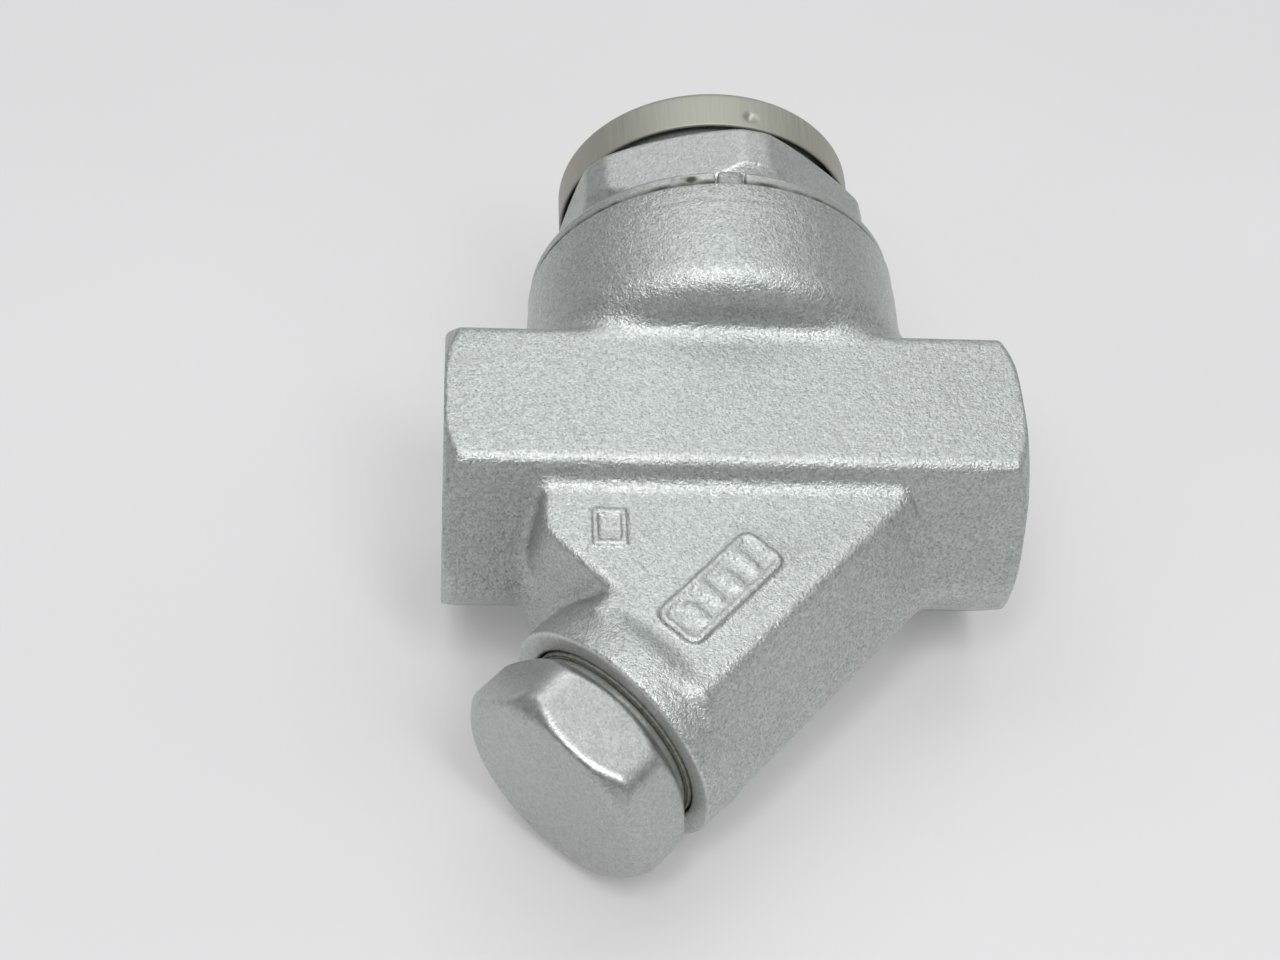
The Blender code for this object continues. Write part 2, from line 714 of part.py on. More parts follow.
def perforated_tube(name, inner, outer, start, end):
    """A tube whose wall is a grid with every second cell of every second row open."""
    around = 32
    rows = 15
    work = bmesh.new()
    bmesh.ops.create_grid(work, x_segments=around, y_segments=rows, size=0.5)
    holes = []
    for face in work.faces:
        column = int((face.calc_center_median().x + 0.5) * around)
        row = int((face.calc_center_median().y + 0.5) * rows)
        if column % 2 and row % 2:
            holes.append(face)
    bmesh.ops.delete(work, geom=holes, context="FACES")
    for vert in work.verts:
        turn = 2 * math.pi * (vert.co.x + 0.5)
        along = start + (vert.co.y + 0.5) * (end - start)
        vert.co = (outer * math.cos(turn), outer * math.sin(turn), along)
    bmesh.ops.remove_doubles(work, verts=work.verts, dist=1e-6)
    bmesh.ops.recalc_face_normals(work, faces=work.faces)
    mesh = bpy.data.meshes.new(name)
    work.to_mesh(mesh)
    work.free()
    obj = bpy.data.objects.new(name, mesh)
    link(obj, PARTS)
    shell = obj.modifiers.new("Wall", "SOLIDIFY")
    shell.thickness = outer - inner
    shell.offset = -1
    return place(obj, LEG)


def screen():
    """Perforated tube with a fine sleeve inside it and a ring at each end."""
    collar = 2.0 * MM
    start = SCREEN_START + collar + GAP
    end = SCREEN_END - collar - GAP
    inner = SCREEN_RADIUS - SCREEN_WALL
    finish(perforated_tube("screen_tube", inner, SCREEN_RADIUS, start, end), SCREEN_STEEL)
    sleeve_outer = inner - GAP
    sleeve = ring("screen_sleeve", sleeve_outer - MESH_WALL, sleeve_outer, start, end, LEG, 40)
    finish(sleeve, SCREEN_STEEL)
    for name, low in (("screen_top_ring", SCREEN_START), ("screen_bottom_ring", SCREEN_END - collar)):
        end_ring = ring(name, sleeve_outer - MESH_WALL, SCREEN_RADIUS + 0.2 * MM, low, low + collar, LEG, 40)
        finish(end_ring, SCREEN_STEEL)


def footprint_centre(objects):
    """The middle of the objects' box in plan, at its lowest point."""
    bpy.context.view_layer.update()
    graph = bpy.context.evaluated_depsgraph_get()
    points = []
    for obj in objects:
        evaluated = obj.evaluated_get(graph)
        mesh = evaluated.to_mesh()
        points += [evaluated.matrix_world @ vert.co for vert in mesh.vertices]
        evaluated.to_mesh_clear()
    lowest = Vector(min(point[i] for point in points) for i in range(3))
    highest = Vector(max(point[i] for point in points) for i in range(3))
    middle = (lowest + highest) / 2
    return Vector((middle.x, middle.y, lowest.z))


PIPE = {"root": Vector(), "turn": PIPE_TURN}
BONNET = {"root": Vector(), "turn": BONNET_TURN}
LEG = {"root": LEG_ROOT, "turn": LEG_TURN}

clear_scene()
PARTS = new_collection("Steam_Trap")
CUTTERS = new_collection("Cutters")
REST = bpy.data.objects.new("resting_place", None)
PARTS.objects.link(REST)

CAST_PAINT = material("silver_cast_paint", (0.52, 0.54, 0.54), 0.45, 0.55)
BRUSHED_STEEL = material("brushed_steel", (0.5, 0.48, 0.44), 0.35, 1.0)
VALVE_STEEL = material("hardened_steel", (0.45, 0.45, 0.46), 0.25, 1.0)
SPRING_STEEL = material("spring_steel", (0.3, 0.3, 0.31), 0.35, 1.0)
BIMETAL = material("bimetal", (0.5, 0.42, 0.3), 0.4, 1.0)
GASKET = material("gasket", (0.12, 0.12, 0.12), 0.8, 0.0)
SCREEN_STEEL = material("screen_steel", (0.55, 0.55, 0.54), 0.3, 1.0)

make_body()
module_gaskets()
valve_seat()
valve_disc()
air_vent_ring()
inner_cover()
module_clip()
locating_ring()
cover_nut()
insulation_cap()
strainer_cap()
strainer_gasket()
screen()

REST.location = -footprint_centre([obj for obj in PARTS.objects if obj.type == "MESH"])
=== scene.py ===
"""Looks for the disc steam trap: fine casting, hexagons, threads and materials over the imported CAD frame.

Shapes are worked out in millimetres in the trap's own axes: x along the pipe, y along the bonnet,
z up as it lies, with the origin where the pipe axis meets the bonnet axis. Cast and hexagon pieces
are signed-distance fields, turned into meshes; turned pieces are lathed outlines.
"""

import math

import bmesh
import bpy
import numpy as np
import openvdb
from mathutils import Matrix, Vector
from mathutils.bvhtree import BVHTree


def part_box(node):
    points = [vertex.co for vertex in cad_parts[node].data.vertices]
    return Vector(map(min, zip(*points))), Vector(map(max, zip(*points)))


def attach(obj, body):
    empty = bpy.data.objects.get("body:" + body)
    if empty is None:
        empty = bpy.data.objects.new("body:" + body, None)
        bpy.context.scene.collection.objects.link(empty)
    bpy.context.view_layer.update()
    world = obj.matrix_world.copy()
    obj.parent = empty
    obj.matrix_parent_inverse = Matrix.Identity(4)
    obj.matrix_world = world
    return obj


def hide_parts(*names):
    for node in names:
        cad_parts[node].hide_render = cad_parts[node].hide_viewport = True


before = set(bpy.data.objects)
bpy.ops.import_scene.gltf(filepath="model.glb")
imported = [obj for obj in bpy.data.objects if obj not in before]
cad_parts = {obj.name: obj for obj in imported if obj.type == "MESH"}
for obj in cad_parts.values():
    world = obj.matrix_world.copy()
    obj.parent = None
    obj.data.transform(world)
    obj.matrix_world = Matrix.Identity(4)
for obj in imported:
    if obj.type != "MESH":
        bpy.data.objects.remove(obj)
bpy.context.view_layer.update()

MM = 0.001
FINE = "_fine"

# ---------------------------------------------------------------- the trap's own axes

CAP_LOW, CAP_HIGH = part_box("insulation_cap")
CAP_END = 54.5
CENTRE = Vector((0, CAP_HIGH.y - CAP_END * MM, (CAP_LOW.z + CAP_HIGH.z) / 2))

# The strainer leg leaves the pipe's axis at LEG_X, near the inlet, and slants back under the outlet end.
LEG_ANGLE = math.radians(46)
LEG_X = 23.6
ALONG = np.array((-math.cos(LEG_ANGLE), -math.sin(LEG_ANGLE), 0))
ACROSS = np.array((math.sin(LEG_ANGLE), -math.cos(LEG_ANGLE), 0))


def to_leg(x, y):
    """Distance across and along the strainer leg, from the point where its axis meets the pipe's."""
    across = (x - LEG_X) * ACROSS[0] + y * ACROSS[1]
    along = (x - LEG_X) * ALONG[0] + y * ALONG[1]
    return across, along


def own_axes(points):
    """Millimetres in the trap's axes to metres in the row frame."""
    return points * MM + np.array(CENTRE)


def leg_axes(points):
    """The leg's own (across, up, along) millimetres to metres in the row frame."""
    across, up, along = points.T
    placed = across[:, None] * ACROSS + along[:, None] * ALONG
    placed[:, 0] += LEG_X
    placed[:, 2] = up
    return own_axes(placed)


def bonnet_axes(points):
    """Lathe (x, z, y) millimetres to metres in the row frame."""
    return own_axes(points[:, (0, 2, 1)])


# ---------------------------------------------------------------- fields and meshes

# Each vertex is moved to its surface in a few steps along the field's slope, measured over PROBE.
PROBE = 0.02
SETTLING_STEPS = 3
LEAST_SLOPE = 0.05
LONGEST_MOVE = 0.6


def soft_max(a, b, k):
    near = np.maximum(k - np.abs(a - b), 0) / k
    return np.maximum(a, b) + near * near * k * 0.25


def soft_min(a, b, k):
    near = np.maximum(k - np.abs(a - b), 0) / k
    return np.minimum(a, b) - near * near * k * 0.25


def soft_step(value, low, high):
    t = np.clip((value - low) / (high - low), 0, 1)
    return t * t * (3 - 2 * t)


def slab(value, half):
    return np.abs(value) - half


def cone(radius, along, start, start_radius, slope):
    """Inside a cone whose radius is start_radius at start and grows by slope a millimetre."""
    return (radius - start_radius - slope * (along - start)) / math.sqrt(1 + slope * slope)


def hexagon(u, v, half_flats, corner, turn, edge):
    """A hexagon bar with cut corners. turn is the angle of one corner, in degrees."""
    field = None
    for number in range(3):
        for angle, reach in ((turn + 60 * number, corner), (turn + 30 + 60 * number, half_flats)):
            a = math.radians(angle)
            side = slab(u * math.cos(a) + v * math.sin(a), reach)
            field = side if field is None else soft_max(field, side, edge)
    return field


def thread(u, v, along, pitch, depth):
    """Depth of a right-handed thread at each point, from 0 to depth."""
    turn = np.arctan2(v, u) / (2 * math.pi)
    return depth * (0.5 + 0.5 * np.cos(2 * math.pi * (along / pitch - turn)))


def thinned(obj, keep):
    """Collapses edges where the surface is nearly flat, down to a share of the triangles."""
    step = obj.modifiers.new("Thin", "DECIMATE")
    step.ratio = keep
    bpy.context.view_layer.update()
    mesh = bpy.data.meshes.new_from_object(obj.evaluated_get(bpy.context.evaluated_depsgraph_get()))
    obj.modifiers.remove(step)
    obj.data = mesh
    mesh.shade_smooth()
    return obj


def field_mesh(name, field, low, high, voxel, place, keep=1.0):
    """Polygonises a field of millimetres and settles each vertex on its surface."""
    axes = [np.arange(a - 2 * voxel, b + 3 * voxel, voxel, dtype=np.float32) for a, b in zip(low, high)]
    grid = openvdb.FloatGrid(1.0)
    grid.copyFromArray(field(*np.meshgrid(*axes, indexing="ij")).astype(np.float32))
    points, triangles, quads = grid.convertToPolygons(isovalue=0.0, adaptivity=0.0)
    points = np.asarray(points, np.float64) * voxel + np.array([axis[0] for axis in axes])
    for _ in range(SETTLING_STEPS):
        value = field(*points.T)
        rises = [field(*(points + shift).T) - field(*(points - shift).T) for shift in np.eye(3) * PROBE]
        slope = np.stack(rises, axis=1) / (2 * PROBE)
        size = np.maximum((slope * slope).sum(axis=1), LEAST_SLOPE)
        move = -(value / size)[:, None] * slope
        reach = np.maximum(np.linalg.norm(move, axis=1) / (LONGEST_MOVE * voxel), 1)
        points = points + move / reach[:, None]
    faces = [tuple(face) for corners in (triangles, quads) for face in np.asarray(corners)]
    made = mesh_object(name, place(points), faces)
    return thinned(made, keep) if keep < 1 else made


def mesh_object(name, points, faces):
    mesh = bpy.data.meshes.new(name)
    mesh.from_pydata([tuple(p) for p in points], [], faces)
    mesh.validate()
    mesh.shade_smooth()
    obj = bpy.data.objects.new(name, mesh)
    bpy.context.scene.collection.objects.link(obj)
    return obj


def face_outwards(obj):
    work = bmesh.new()
    work.from_mesh(obj.data)
    bmesh.ops.recalc_face_normals(work, faces=work.faces)
    work.to_mesh(obj.data)
    work.free()
    return obj


def rounded(profile, radius, steps=3):
    """A closed outline of (radius, along) points with each corner taken round by an arc of that radius."""
    made = []
    count = len(profile)
    for index, corner in enumerate(profile):
        here = np.array(corner, float)
        before = np.array(profile[index - 1], float) - here
        after = np.array(profile[(index + 1) % count], float) - here
        if here[0] < 1e-6:
            made.append(tuple(here))
            continue
        reach = min(radius, 0.45 * np.linalg.norm(before), 0.45 * np.linalg.norm(after))
        first = here + before / np.linalg.norm(before) * reach
        last = here + after / np.linalg.norm(after) * reach
        for part in range(steps + 1):
            t = part / steps
            made.append(tuple((1 - t) ** 2 * first + 2 * t * (1 - t) * here + t * t * last))
    return made


def lathe(name, profile, place, around=160, shape=None):
    """A closed or axis-to-axis outline turned about its axis. shape may move the points."""
    on_axis = profile[0][0] < 1e-6 and profile[-1][0] < 1e-6
    ringed = profile[1:-1] if on_axis else profile
    angles = np.arange(around) * 2 * math.pi / around
    points = np.array([(r * math.cos(a), r * math.sin(a), t) for r, t in ringed for a in angles])
    if shape:
        points = shape(points)
    rows = len(ringed)
    faces = []
    for row in range(rows - 1 if on_axis else rows):
        below = (row + 1) % rows
        for column in range(around):
            side = (column + 1) % around
            first, last = row * around, below * around
            faces.append((first + column, last + column, last + side, first + side))
    if on_axis:
        first = len(points)
        points = np.vstack([points, (0, 0, profile[0][1]), (0, 0, profile[-1][1])])
        for column in range(around):
            side = (column + 1) % around
            faces.append((first, column, side))
            faces.append((first + 1, (rows - 1) * around + side, (rows - 1) * around + column))
    return face_outwards(mesh_object(name, place(points), faces))


def ready(obj, body, slot, *nodes):
    """Rides on its body and stands for its CAD nodes. The slot argument is not used."""
    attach(obj, body)
    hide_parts(*(nodes or (obj.name.removesuffix(FINE),)))
    return obj


# ---------------------------------------------------------------- body casting

BODY_VOXEL = 0.42
BODY_KEEP = 0.46

PIPE_HALF = 40.0
PIPE_FLATS = 19.0
PIPE_EDGE = 20.78
PIPE_END_RADIUS = 19.4
PIPE_END_SLOPE = 1.21
PIPE_ROUND = 1.2

BONNET_RADIUS = 27.85
BONNET_FOOT = 12.0
BONNET_SHOULDER = 5.0
BONNET_FILLET = 4.0
RIM_Y = 31.3
RIM_BAND = (27.2, 28.2)
RIM_BAND_DEPTH = 0.16

# The leg's flat top and bottom lie PLATEAU from its middle; its sides lean out to LEG_SIDE.
PLATEAU = 15.6
PLATEAU_HALF = 9.4
PLATEAU_LEAN = 1.5
LEG_SIDE = 17.4
LEG_MIDDLE = 32.0
LEG_HALF = 21.6
CAST_FILLET = 1.6

WEB_CORNER = (-26.6, -20.0)
WEB_EDGES = (((-1.0, 0.0), 3.57), ((-0.7375, -0.6752), 5.09))
WEB_END = 50.5

BOSS_RADIUS = 17.1
BOSS_END = 58.8
BOSS_BACK = 52.6
BOSS_BACK_SLOPE = 1.9

PAD_ALONG = 39.75
PAD_ACROSS = 0.5
PAD_HALF = (7.65, 1.9)
PAD_CORNER = 1.6
PAD_RIM = 0.9
PAD_RIM_HEIGHT = 0.65
PAD_FLOOR_HEIGHT = 0.2
BAR_PITCH = 3.5
BAR_HEIGHT = 0.6

MARK_MIDDLE = (-17.9, -19.7)
MARK_HALF = (1.9, 2.5)
MARK_LINE = 0.32
MARK_HEIGHT = 0.42

CHAMBER_RADIUS = 20.3
CHAMBER_FLOOR = 17.0
CHAMBER_MOUTH = 21.4
CHAMBER_THREAD_FROM = 22.5
NUT_PITCH = 2.0
NUT_THREAD_DEPTH = 0.45

PLUG_BORE = 12.6
PLUG_BORE_FLOOR = 46.0
PLUG_THREAD = (48.0, 57.0)
PLUG_PITCH = 2.0
PLUG_THREAD_DEPTH = 0.4
RECESS_RADIUS = 14.0
RECESS_FLOOR = 57.2
SCREEN_BORE = 10.9
LEG_PASSAGE = 8.0

PORT_BORE = 9.4
PORT_FLOOR = 25.0
PORT_PITCH = 1.81
PORT_THREAD_DEPTH = 0.6
PORT_TAPER = 0.03
PORT_MOUTH = 11.3
PORT_PASSAGE = 5.6
INLET_HOLE = 4.0
OUTLET_HOLE = 3.2


def pipe_field(x, y, z):
    field = soft_max(slab(z, PIPE_FLATS), slab(y, PIPE_EDGE), PIPE_ROUND)
    lean = math.radians(30)
    for sign in (1, -1):
        flat = slab(y * math.cos(lean) + sign * z * math.sin(lean), PIPE_FLATS)
        field = soft_max(field, flat, PIPE_ROUND)
    radius = np.hypot(y, z)
    ends = cone(radius, np.abs(x), PIPE_HALF, PIPE_END_RADIUS, -PIPE_END_SLOPE)
    return soft_max(soft_max(field, ends, 0.5), slab(x, PIPE_HALF), 0.5)


def bonnet_field(x, y, z):
    radius = np.hypot(x, z)
    shoulder_top = BONNET_FOOT + BONNET_SHOULDER
    inner = np.maximum(radius - BONNET_RADIUS + BONNET_SHOULDER, 0)
    below = np.maximum(shoulder_top - y, 0)
    corner = np.hypot(inner, below) - BONNET_SHOULDER
    machined = BONNET_RADIUS - RIM_BAND_DEPTH * soft_step(y, *RIM_BAND)
    barrel = np.where(y > shoulder_top, radius - machined, corner)
    return soft_max(barrel, y - RIM_Y, 0.5)


def leg_sides(x, y, z):
    across, along = to_leg(x, y)
    lean = np.array((PLATEAU - PLATEAU_LEAN, LEG_SIDE - PLATEAU_HALF))
    lean = lean / np.hypot(*lean)
    sides = (np.abs(across) - PLATEAU_HALF) * lean[0] + (np.abs(z) - PLATEAU) * lean[1]
    field = soft_max(sides, slab(across, LEG_SIDE), 1.0)
    return soft_max(field, slab(along - LEG_MIDDLE, LEG_HALF), 0.5)


def web_sides(x, y, z):
    """The drafted edges of the plate between the pipe and the leg."""
    low = PLATEAU - np.abs(z)
    field = y
    for out, draft in WEB_EDGES:
        away = (x - WEB_CORNER[0]) * out[0] + (y - WEB_CORNER[1]) * out[1]
        field = soft_max(field, (away * PLATEAU - draft * low) / math.hypot(PLATEAU, draft), 1.3)
    across, along = to_leg(x, y)
    return soft_max(soft_max(field, along - WEB_END, 2.0), across, 1.0)


def boss_field(x, y, z):
    across, along = to_leg(x, y)
    radius = np.hypot(across, z)
    field = soft_max(radius - BOSS_RADIUS, along - BOSS_END, 0.6)
    return soft_max(field, cone(radius, along, BOSS_BACK, BOSS_RADIUS, BOSS_BACK_SLOPE), 2.0)


def pad_field(x, y, z):
    """The raised foundry pad: a rim round a sunk floor with plain bars on it."""
    across, along = to_leg(x, y)
    u = along - PAD_ALONG
    v = across - PAD_ACROSS
    past = [np.maximum(np.abs(value) - half, 0) for value, half in zip((u, v), PAD_HALF)]
    outside = np.hypot(*past) - PAD_CORNER
    rim = soft_max(outside, z - PLATEAU - PAD_RIM_HEIGHT, 0.5)
    sunk = soft_max(outside + PAD_RIM, PLATEAU + PAD_FLOOR_HEIGHT - z, 0.3)
    rim = soft_max(rim, -sunk, 0.3)
    bar = np.abs(np.mod(u + 2 * BAR_PITCH, BAR_PITCH) - BAR_PITCH / 2)
    blob = np.hypot(bar, np.maximum(np.abs(v + 0.35 * np.sin(u)) - 1.2, 0)) - 0.9
    marks = soft_max(np.maximum(blob, np.abs(u) - 6.6), z - PLATEAU - BAR_HEIGHT, 0.5)
    return soft_max(soft_min(rim, marks, 0.3), 12.0 - z, 0.5)


def mark_field(x, y, z):
    """A small plain cast mark: a raised outline."""
    outline = np.maximum(slab(x - MARK_MIDDLE[0], MARK_HALF[0]), slab(y - MARK_MIDDLE[1], MARK_HALF[1]))
    return soft_max(np.abs(outline) - MARK_LINE, slab(z - PLATEAU, MARK_HEIGHT), 0.25)


def lug_field(x, y, z):
    """The lug on the rim that keeps the locating ring from turning."""
    return soft_max(soft_max(slab(x, 1.8), slab(z - 25.6, 1.8), 0.6), slab(y - 32.0, 1.7), 0.5)


def rod_field(x, y, z, first, last, radius):
    """A round rod from one point to another."""
    first, last = np.array(first, float), np.array(last, float)
    length = np.linalg.norm(last - first)
    way = (last - first) / length
    px, py, pz = x - first[0], y - first[1], z - first[2]
    along = px * way[0] + py * way[1] + pz * way[2]
    off = np.sqrt(np.maximum(px * px + py * py + pz * pz - along * along, 1e-6))
    return np.maximum(off - radius, slab(along - length / 2, length / 2))


def hollow_field(x, y, z):
    """Everything that is bored or cored out of the casting."""
    radius = np.hypot(x, z)
    wall = CHAMBER_RADIUS + thread(x, z, y, NUT_PITCH, NUT_THREAD_DEPTH) * (y > CHAMBER_THREAD_FROM)
    field = soft_max(radius - wall, CHAMBER_FLOOR - y, 0.3)
    field = np.minimum(field, cone(radius, y, RIM_Y, CHAMBER_MOUTH, 1.0))
    across, along = to_leg(x, y)
    leg_radius = np.hypot(across, z)
    threaded = (along > PLUG_THREAD[0]) * (along < PLUG_THREAD[1])
    wall = PLUG_BORE + thread(across, z, along, PLUG_PITCH, PLUG_THREAD_DEPTH) * threaded
    bore = soft_max(leg_radius - wall, PLUG_BORE_FLOOR - along, 0.3)
    bore = soft_min(bore, soft_max(leg_radius - RECESS_RADIUS, RECESS_FLOOR - along, 0.3), 0.1)
    bore = np.minimum(bore, soft_max(leg_radius - SCREEN_BORE, slab(along - LEG_MIDDLE, 15.0), 0.3))
    bore = np.minimum(bore, soft_max(leg_radius - LEG_PASSAGE, slab(along - 10, 11.0), 0.3))
    field = np.minimum(field, bore)
    side = np.abs(x)
    port_radius = np.hypot(y, z)
    grooves = thread(y * np.sign(x), z, side, PORT_PITCH, PORT_THREAD_DEPTH)
    wall = PORT_BORE + grooves + (side - PORT_FLOOR) * PORT_TAPER
    port = soft_max(port_radius - wall, PORT_FLOOR - side, 0.3)
    mouth = cone(port_radius, side, PIPE_HALF, PORT_MOUTH, 1.0)
    port = np.minimum(port, soft_max(mouth, 36.0 - side, 0.2))
    port = np.minimum(port, soft_max(port_radius - PORT_PASSAGE, slab(side - 24.5, 1.5), 0.5))
    field = np.minimum(field, port)
    top = CHAMBER_FLOOR + 1
    field = np.minimum(field, rod_field(x, y, z, (0, -11, 0), (0, top, 0), INLET_HOLE))
    return np.minimum(field, rod_field(x, y, z, (-11.2, top, 0), (-28, -2, 0), OUTLET_HOLE))


def casting_field(x, y, z):
    leg = soft_min(leg_sides(x, y, z), web_sides(x, y, z), CAST_FILLET)
    leg = soft_max(slab(z, PLATEAU), leg, 1.3)
    leg = soft_min(leg, boss_field(x, y, z), CAST_FILLET)
    pipe = soft_min(pipe_field(x, y, z), bonnet_field(x, y, z), BONNET_FILLET)
    field = soft_min(pipe, leg, CAST_FILLET)
    field = soft_min(field, np.minimum(pad_field(x, y, z), mark_field(x, y, z)), 0.5)
    field = soft_max(field, -hollow_field(x, y, z), 0.3)
    return soft_min(field, lug_field(x, y, z), 0.3)


def make_body():
    low = (-PIPE_HALF, -58.0, -BONNET_RADIUS)
    high = (PIPE_HALF, 33.8, BONNET_RADIUS)
    casting = field_mesh("body_fine", casting_field, low, high, BODY_VOXEL, own_axes, BODY_KEEP)
    return ready(casting, "body", "painted")


# ---------------------------------------------------------------- bonnet pieces

NUT_FLATS = 22.25
NUT_CORNER = 24.5
NUT_TURN = 18.6
NUT_LOW = 36.1
NUT_HIGH = 46.3
WASHER_RADIUS = 22.0
NUT_BOSS_RADIUS = 20.9
NUT_NECK_RADIUS = 20.0
NUT_THREAD = (23.2, 33.2)
NUT_POCKET_RADIUS = 17.5
NUT_POCKET_FLOOR = 38.4
RING_MIDDLE = 23.85
RING_HALF_WIDTH = 3.45
SEAT_RADIUS = 19.9
SEAT_HUB_RADIUS = 12.0
OUTLET_CIRCLE = 7.1
SEAT_BASE = 18.3
SEAT_FLANGE = 21.9
SEAT_TOP = 25.5
DISC_BASE = 25.8
DISC_TOP = 29.0
COVER_BASE = 22.2
DOME_TOP = 38.0
CAP_RADIUS = 22.7
CAP_RIM = 47.4
CAP_WALL = 0.55
CAP_BEND = 1.5
CAP_LIP = 0.15
CAP_STEP = 0.25
DENT_Y = 49.6
DENT_RADIUS = 1.25
DENT_DEPTH = 0.84
DENT_ANGLES = (78, 198, 318)


def nut_field(x, y, z):
    radius = np.hypot(x, z)
    bar = hexagon(x, z, NUT_FLATS, NUT_CORNER, NUT_TURN, 0.45)
    bar = soft_max(bar, slab(y - (NUT_LOW + NUT_HIGH) / 2, (NUT_HIGH - NUT_LOW) / 2), 0.3)
    bar = soft_max(bar, cone(radius, y, NUT_LOW, WASHER_RADIUS, 0.931), 0.4)
    bar = soft_max(bar, cone(radius, y, NUT_HIGH, WASHER_RADIUS, -2.077), 0.4)
    washer = soft_max(radius - WASHER_RADIUS, slab(y - 35.6, 1.4), 0.5)
    boss = soft_max(radius - NUT_BOSS_RADIUS, slab(y - 49.8, 3.85), 1.0)
    threaded = (y > NUT_THREAD[0]) * (y < NUT_THREAD[1])
    groove = thread(x, z, y, NUT_PITCH, NUT_THREAD_DEPTH) * threaded
    neck = soft_max(radius - NUT_NECK_RADIUS + groove, slab(y - 28.4, 6.2), 0.9)
    field = soft_min(np.minimum(bar, neck), np.minimum(washer, boss), 0.25)
    pocket = soft_max(radius - NUT_POCKET_RADIUS, y - NUT_POCKET_FLOOR, 0.6)
    pocket = soft_max(pocket, (radius + y - 51.4) * math.sqrt(0.5), 0.6)
    return soft_max(field, -pocket, 0.3)


def ring_field(x, y, z):
    radius = np.hypot(x, z)
    band = soft_max(slab(radius - RING_MIDDLE, RING_HALF_WIDTH), slab(y - 32.7, 1.1), 0.7)
    slot = soft_max(slab(x, 2.1), 23.4 - z, 1.2)
    return soft_max(band, -slot, 0.5)


def seat_field(x, y, z):
    radius = np.hypot(x, z)
    flat = slab(y - (SEAT_BASE + SEAT_FLANGE) / 2, (SEAT_FLANGE - SEAT_BASE) / 2)
    flange = soft_max(radius - SEAT_RADIUS, flat, 0.4)
    flat = slab(y - (SEAT_BASE + SEAT_TOP) / 2, (SEAT_TOP - SEAT_BASE) / 2)
    hub = soft_max(radius - SEAT_HUB_RADIUS, flat, 0.3)
    hub = soft_max(hub, cone(radius, y, SEAT_TOP, 11.0, -0.83), 0.2)
    field = soft_min(flange, hub, 0.6)
    field = soft_max(field, 3.4 - radius, 0.3)
    field = soft_max(field, -soft_max(slab(radius - OUTLET_CIRCLE, 1.8), 23.3 - y, 0.5), 0.3)
    for number in range(3):
        turn = math.radians(-30 - 120 * number)
        hole = np.hypot(x - OUTLET_CIRCLE * math.cos(turn), z - OUTLET_CIRCLE * math.sin(turn)) - 1.25
        field = soft_max(field, -hole, 0.3)
    return field


def open_ring(name, inner, outer, low, high, opening, facing, place):
    """A sprung ring of rounded section with a gap that faces one way, in degrees."""
    section = rounded([(outer, high), (outer, low), (inner, low), (inner, high)], 0.3)
    half = opening / (inner + outer)
    around = 120
    angles = math.radians(facing) + np.linspace(half, 2 * math.pi - half, around)
    points = np.array([(r * math.cos(a), r * math.sin(a), t) for a in angles for r, t in section])
    count = len(section)
    faces = [tuple(range(count)), tuple(reversed(range((around - 1) * count, around * count)))]
    for step in range(around - 1):
        for index in range(count):
            side = (index + 1) % count
            start = step * count
            faces.append((start + index, start + side, start + count + side, start + count + index))
    return face_outwards(mesh_object(name, place(points), faces))


def grooved(inner, outer, low, high, count, depth):
    """A flat ring's outline with fine turned grooves on both faces."""
    profile = [(outer, high), (outer, low)]
    width = (outer - inner) / count
    for number in range(1, count):
        r = outer - number * width
        profile += [(r + 0.3 * width, low), (r, low + depth), (r - 0.3 * width, low)]
    profile += [(inner, low), (inner, high)]
    for number in range(1, count):
        r = inner + number * width
        profile += [(r - 0.3 * width, high), (r, high - depth), (r + 0.3 * width, high)]
    return profile


def dented(points):
    """Presses the cap's three dents into its wall."""
    radius = np.hypot(points[:, 0], points[:, 1])
    angle = np.arctan2(points[:, 1], points[:, 0])
    for degrees in DENT_ANGLES:
        off = (angle - math.radians(degrees) + math.pi) % (2 * math.pi) - math.pi
        away = np.hypot(off * radius, points[:, 2] - DENT_Y)
        dish = 0.5 * DENT_DEPTH * (1 + np.cos(math.pi * away / DENT_RADIUS))
        depth = np.where((radius > CAP_RADIUS - 2) & (away < DENT_RADIUS), dish, 0)
        points[:, 0] -= depth * np.cos(angle)
        points[:, 1] -= depth * np.sin(angle)
    return points


def cap_outline():
    inner = CAP_RADIUS - CAP_WALL
    wall = np.arange(CAP_RIM + 0.4, CAP_END - 2.2, CAP_STEP)
    centre = (CAP_RADIUS - CAP_BEND, CAP_END - CAP_BEND)
    profile = [(0, CAP_END), (centre[0], CAP_END)]
    for a in np.arange(1, 9) * math.pi / 16:
        profile.append((centre[0] + CAP_BEND * math.sin(a), centre[1] + CAP_BEND * math.cos(a)))
    profile += [(CAP_RADIUS, t) for t in wall[::-1]]
    profile += [(CAP_RADIUS, CAP_RIM + CAP_LIP), (CAP_RADIUS - CAP_LIP, CAP_RIM)]
    profile += [(inner + CAP_LIP, CAP_RIM), (inner, CAP_RIM + CAP_LIP)]
    profile += [(inner, t) for t in wall]
    bend = CAP_BEND - CAP_WALL
    for a in np.arange(0, 9) * math.pi / 16:
        profile.append((centre[0] + bend * math.cos(a), centre[1] + bend * math.sin(a)))
    return profile + [(0, CAP_END - CAP_WALL)]


def disc_outline():
    top, base = DISC_TOP, DISC_BASE
    profile = [(0, top - 0.25), (1.2, top - 0.25), (1.6, top), (6.0, top), (6.3, top - 0.3)]
    profile += [(6.9, top - 0.3), (7.2, top), (9.6, top), (10.6, top - 1.0), (10.6, base)]
    return profile + [(7.4, base), (7.2, base + 0.5), (6.6, base + 0.5), (6.4, base), (0, base)]


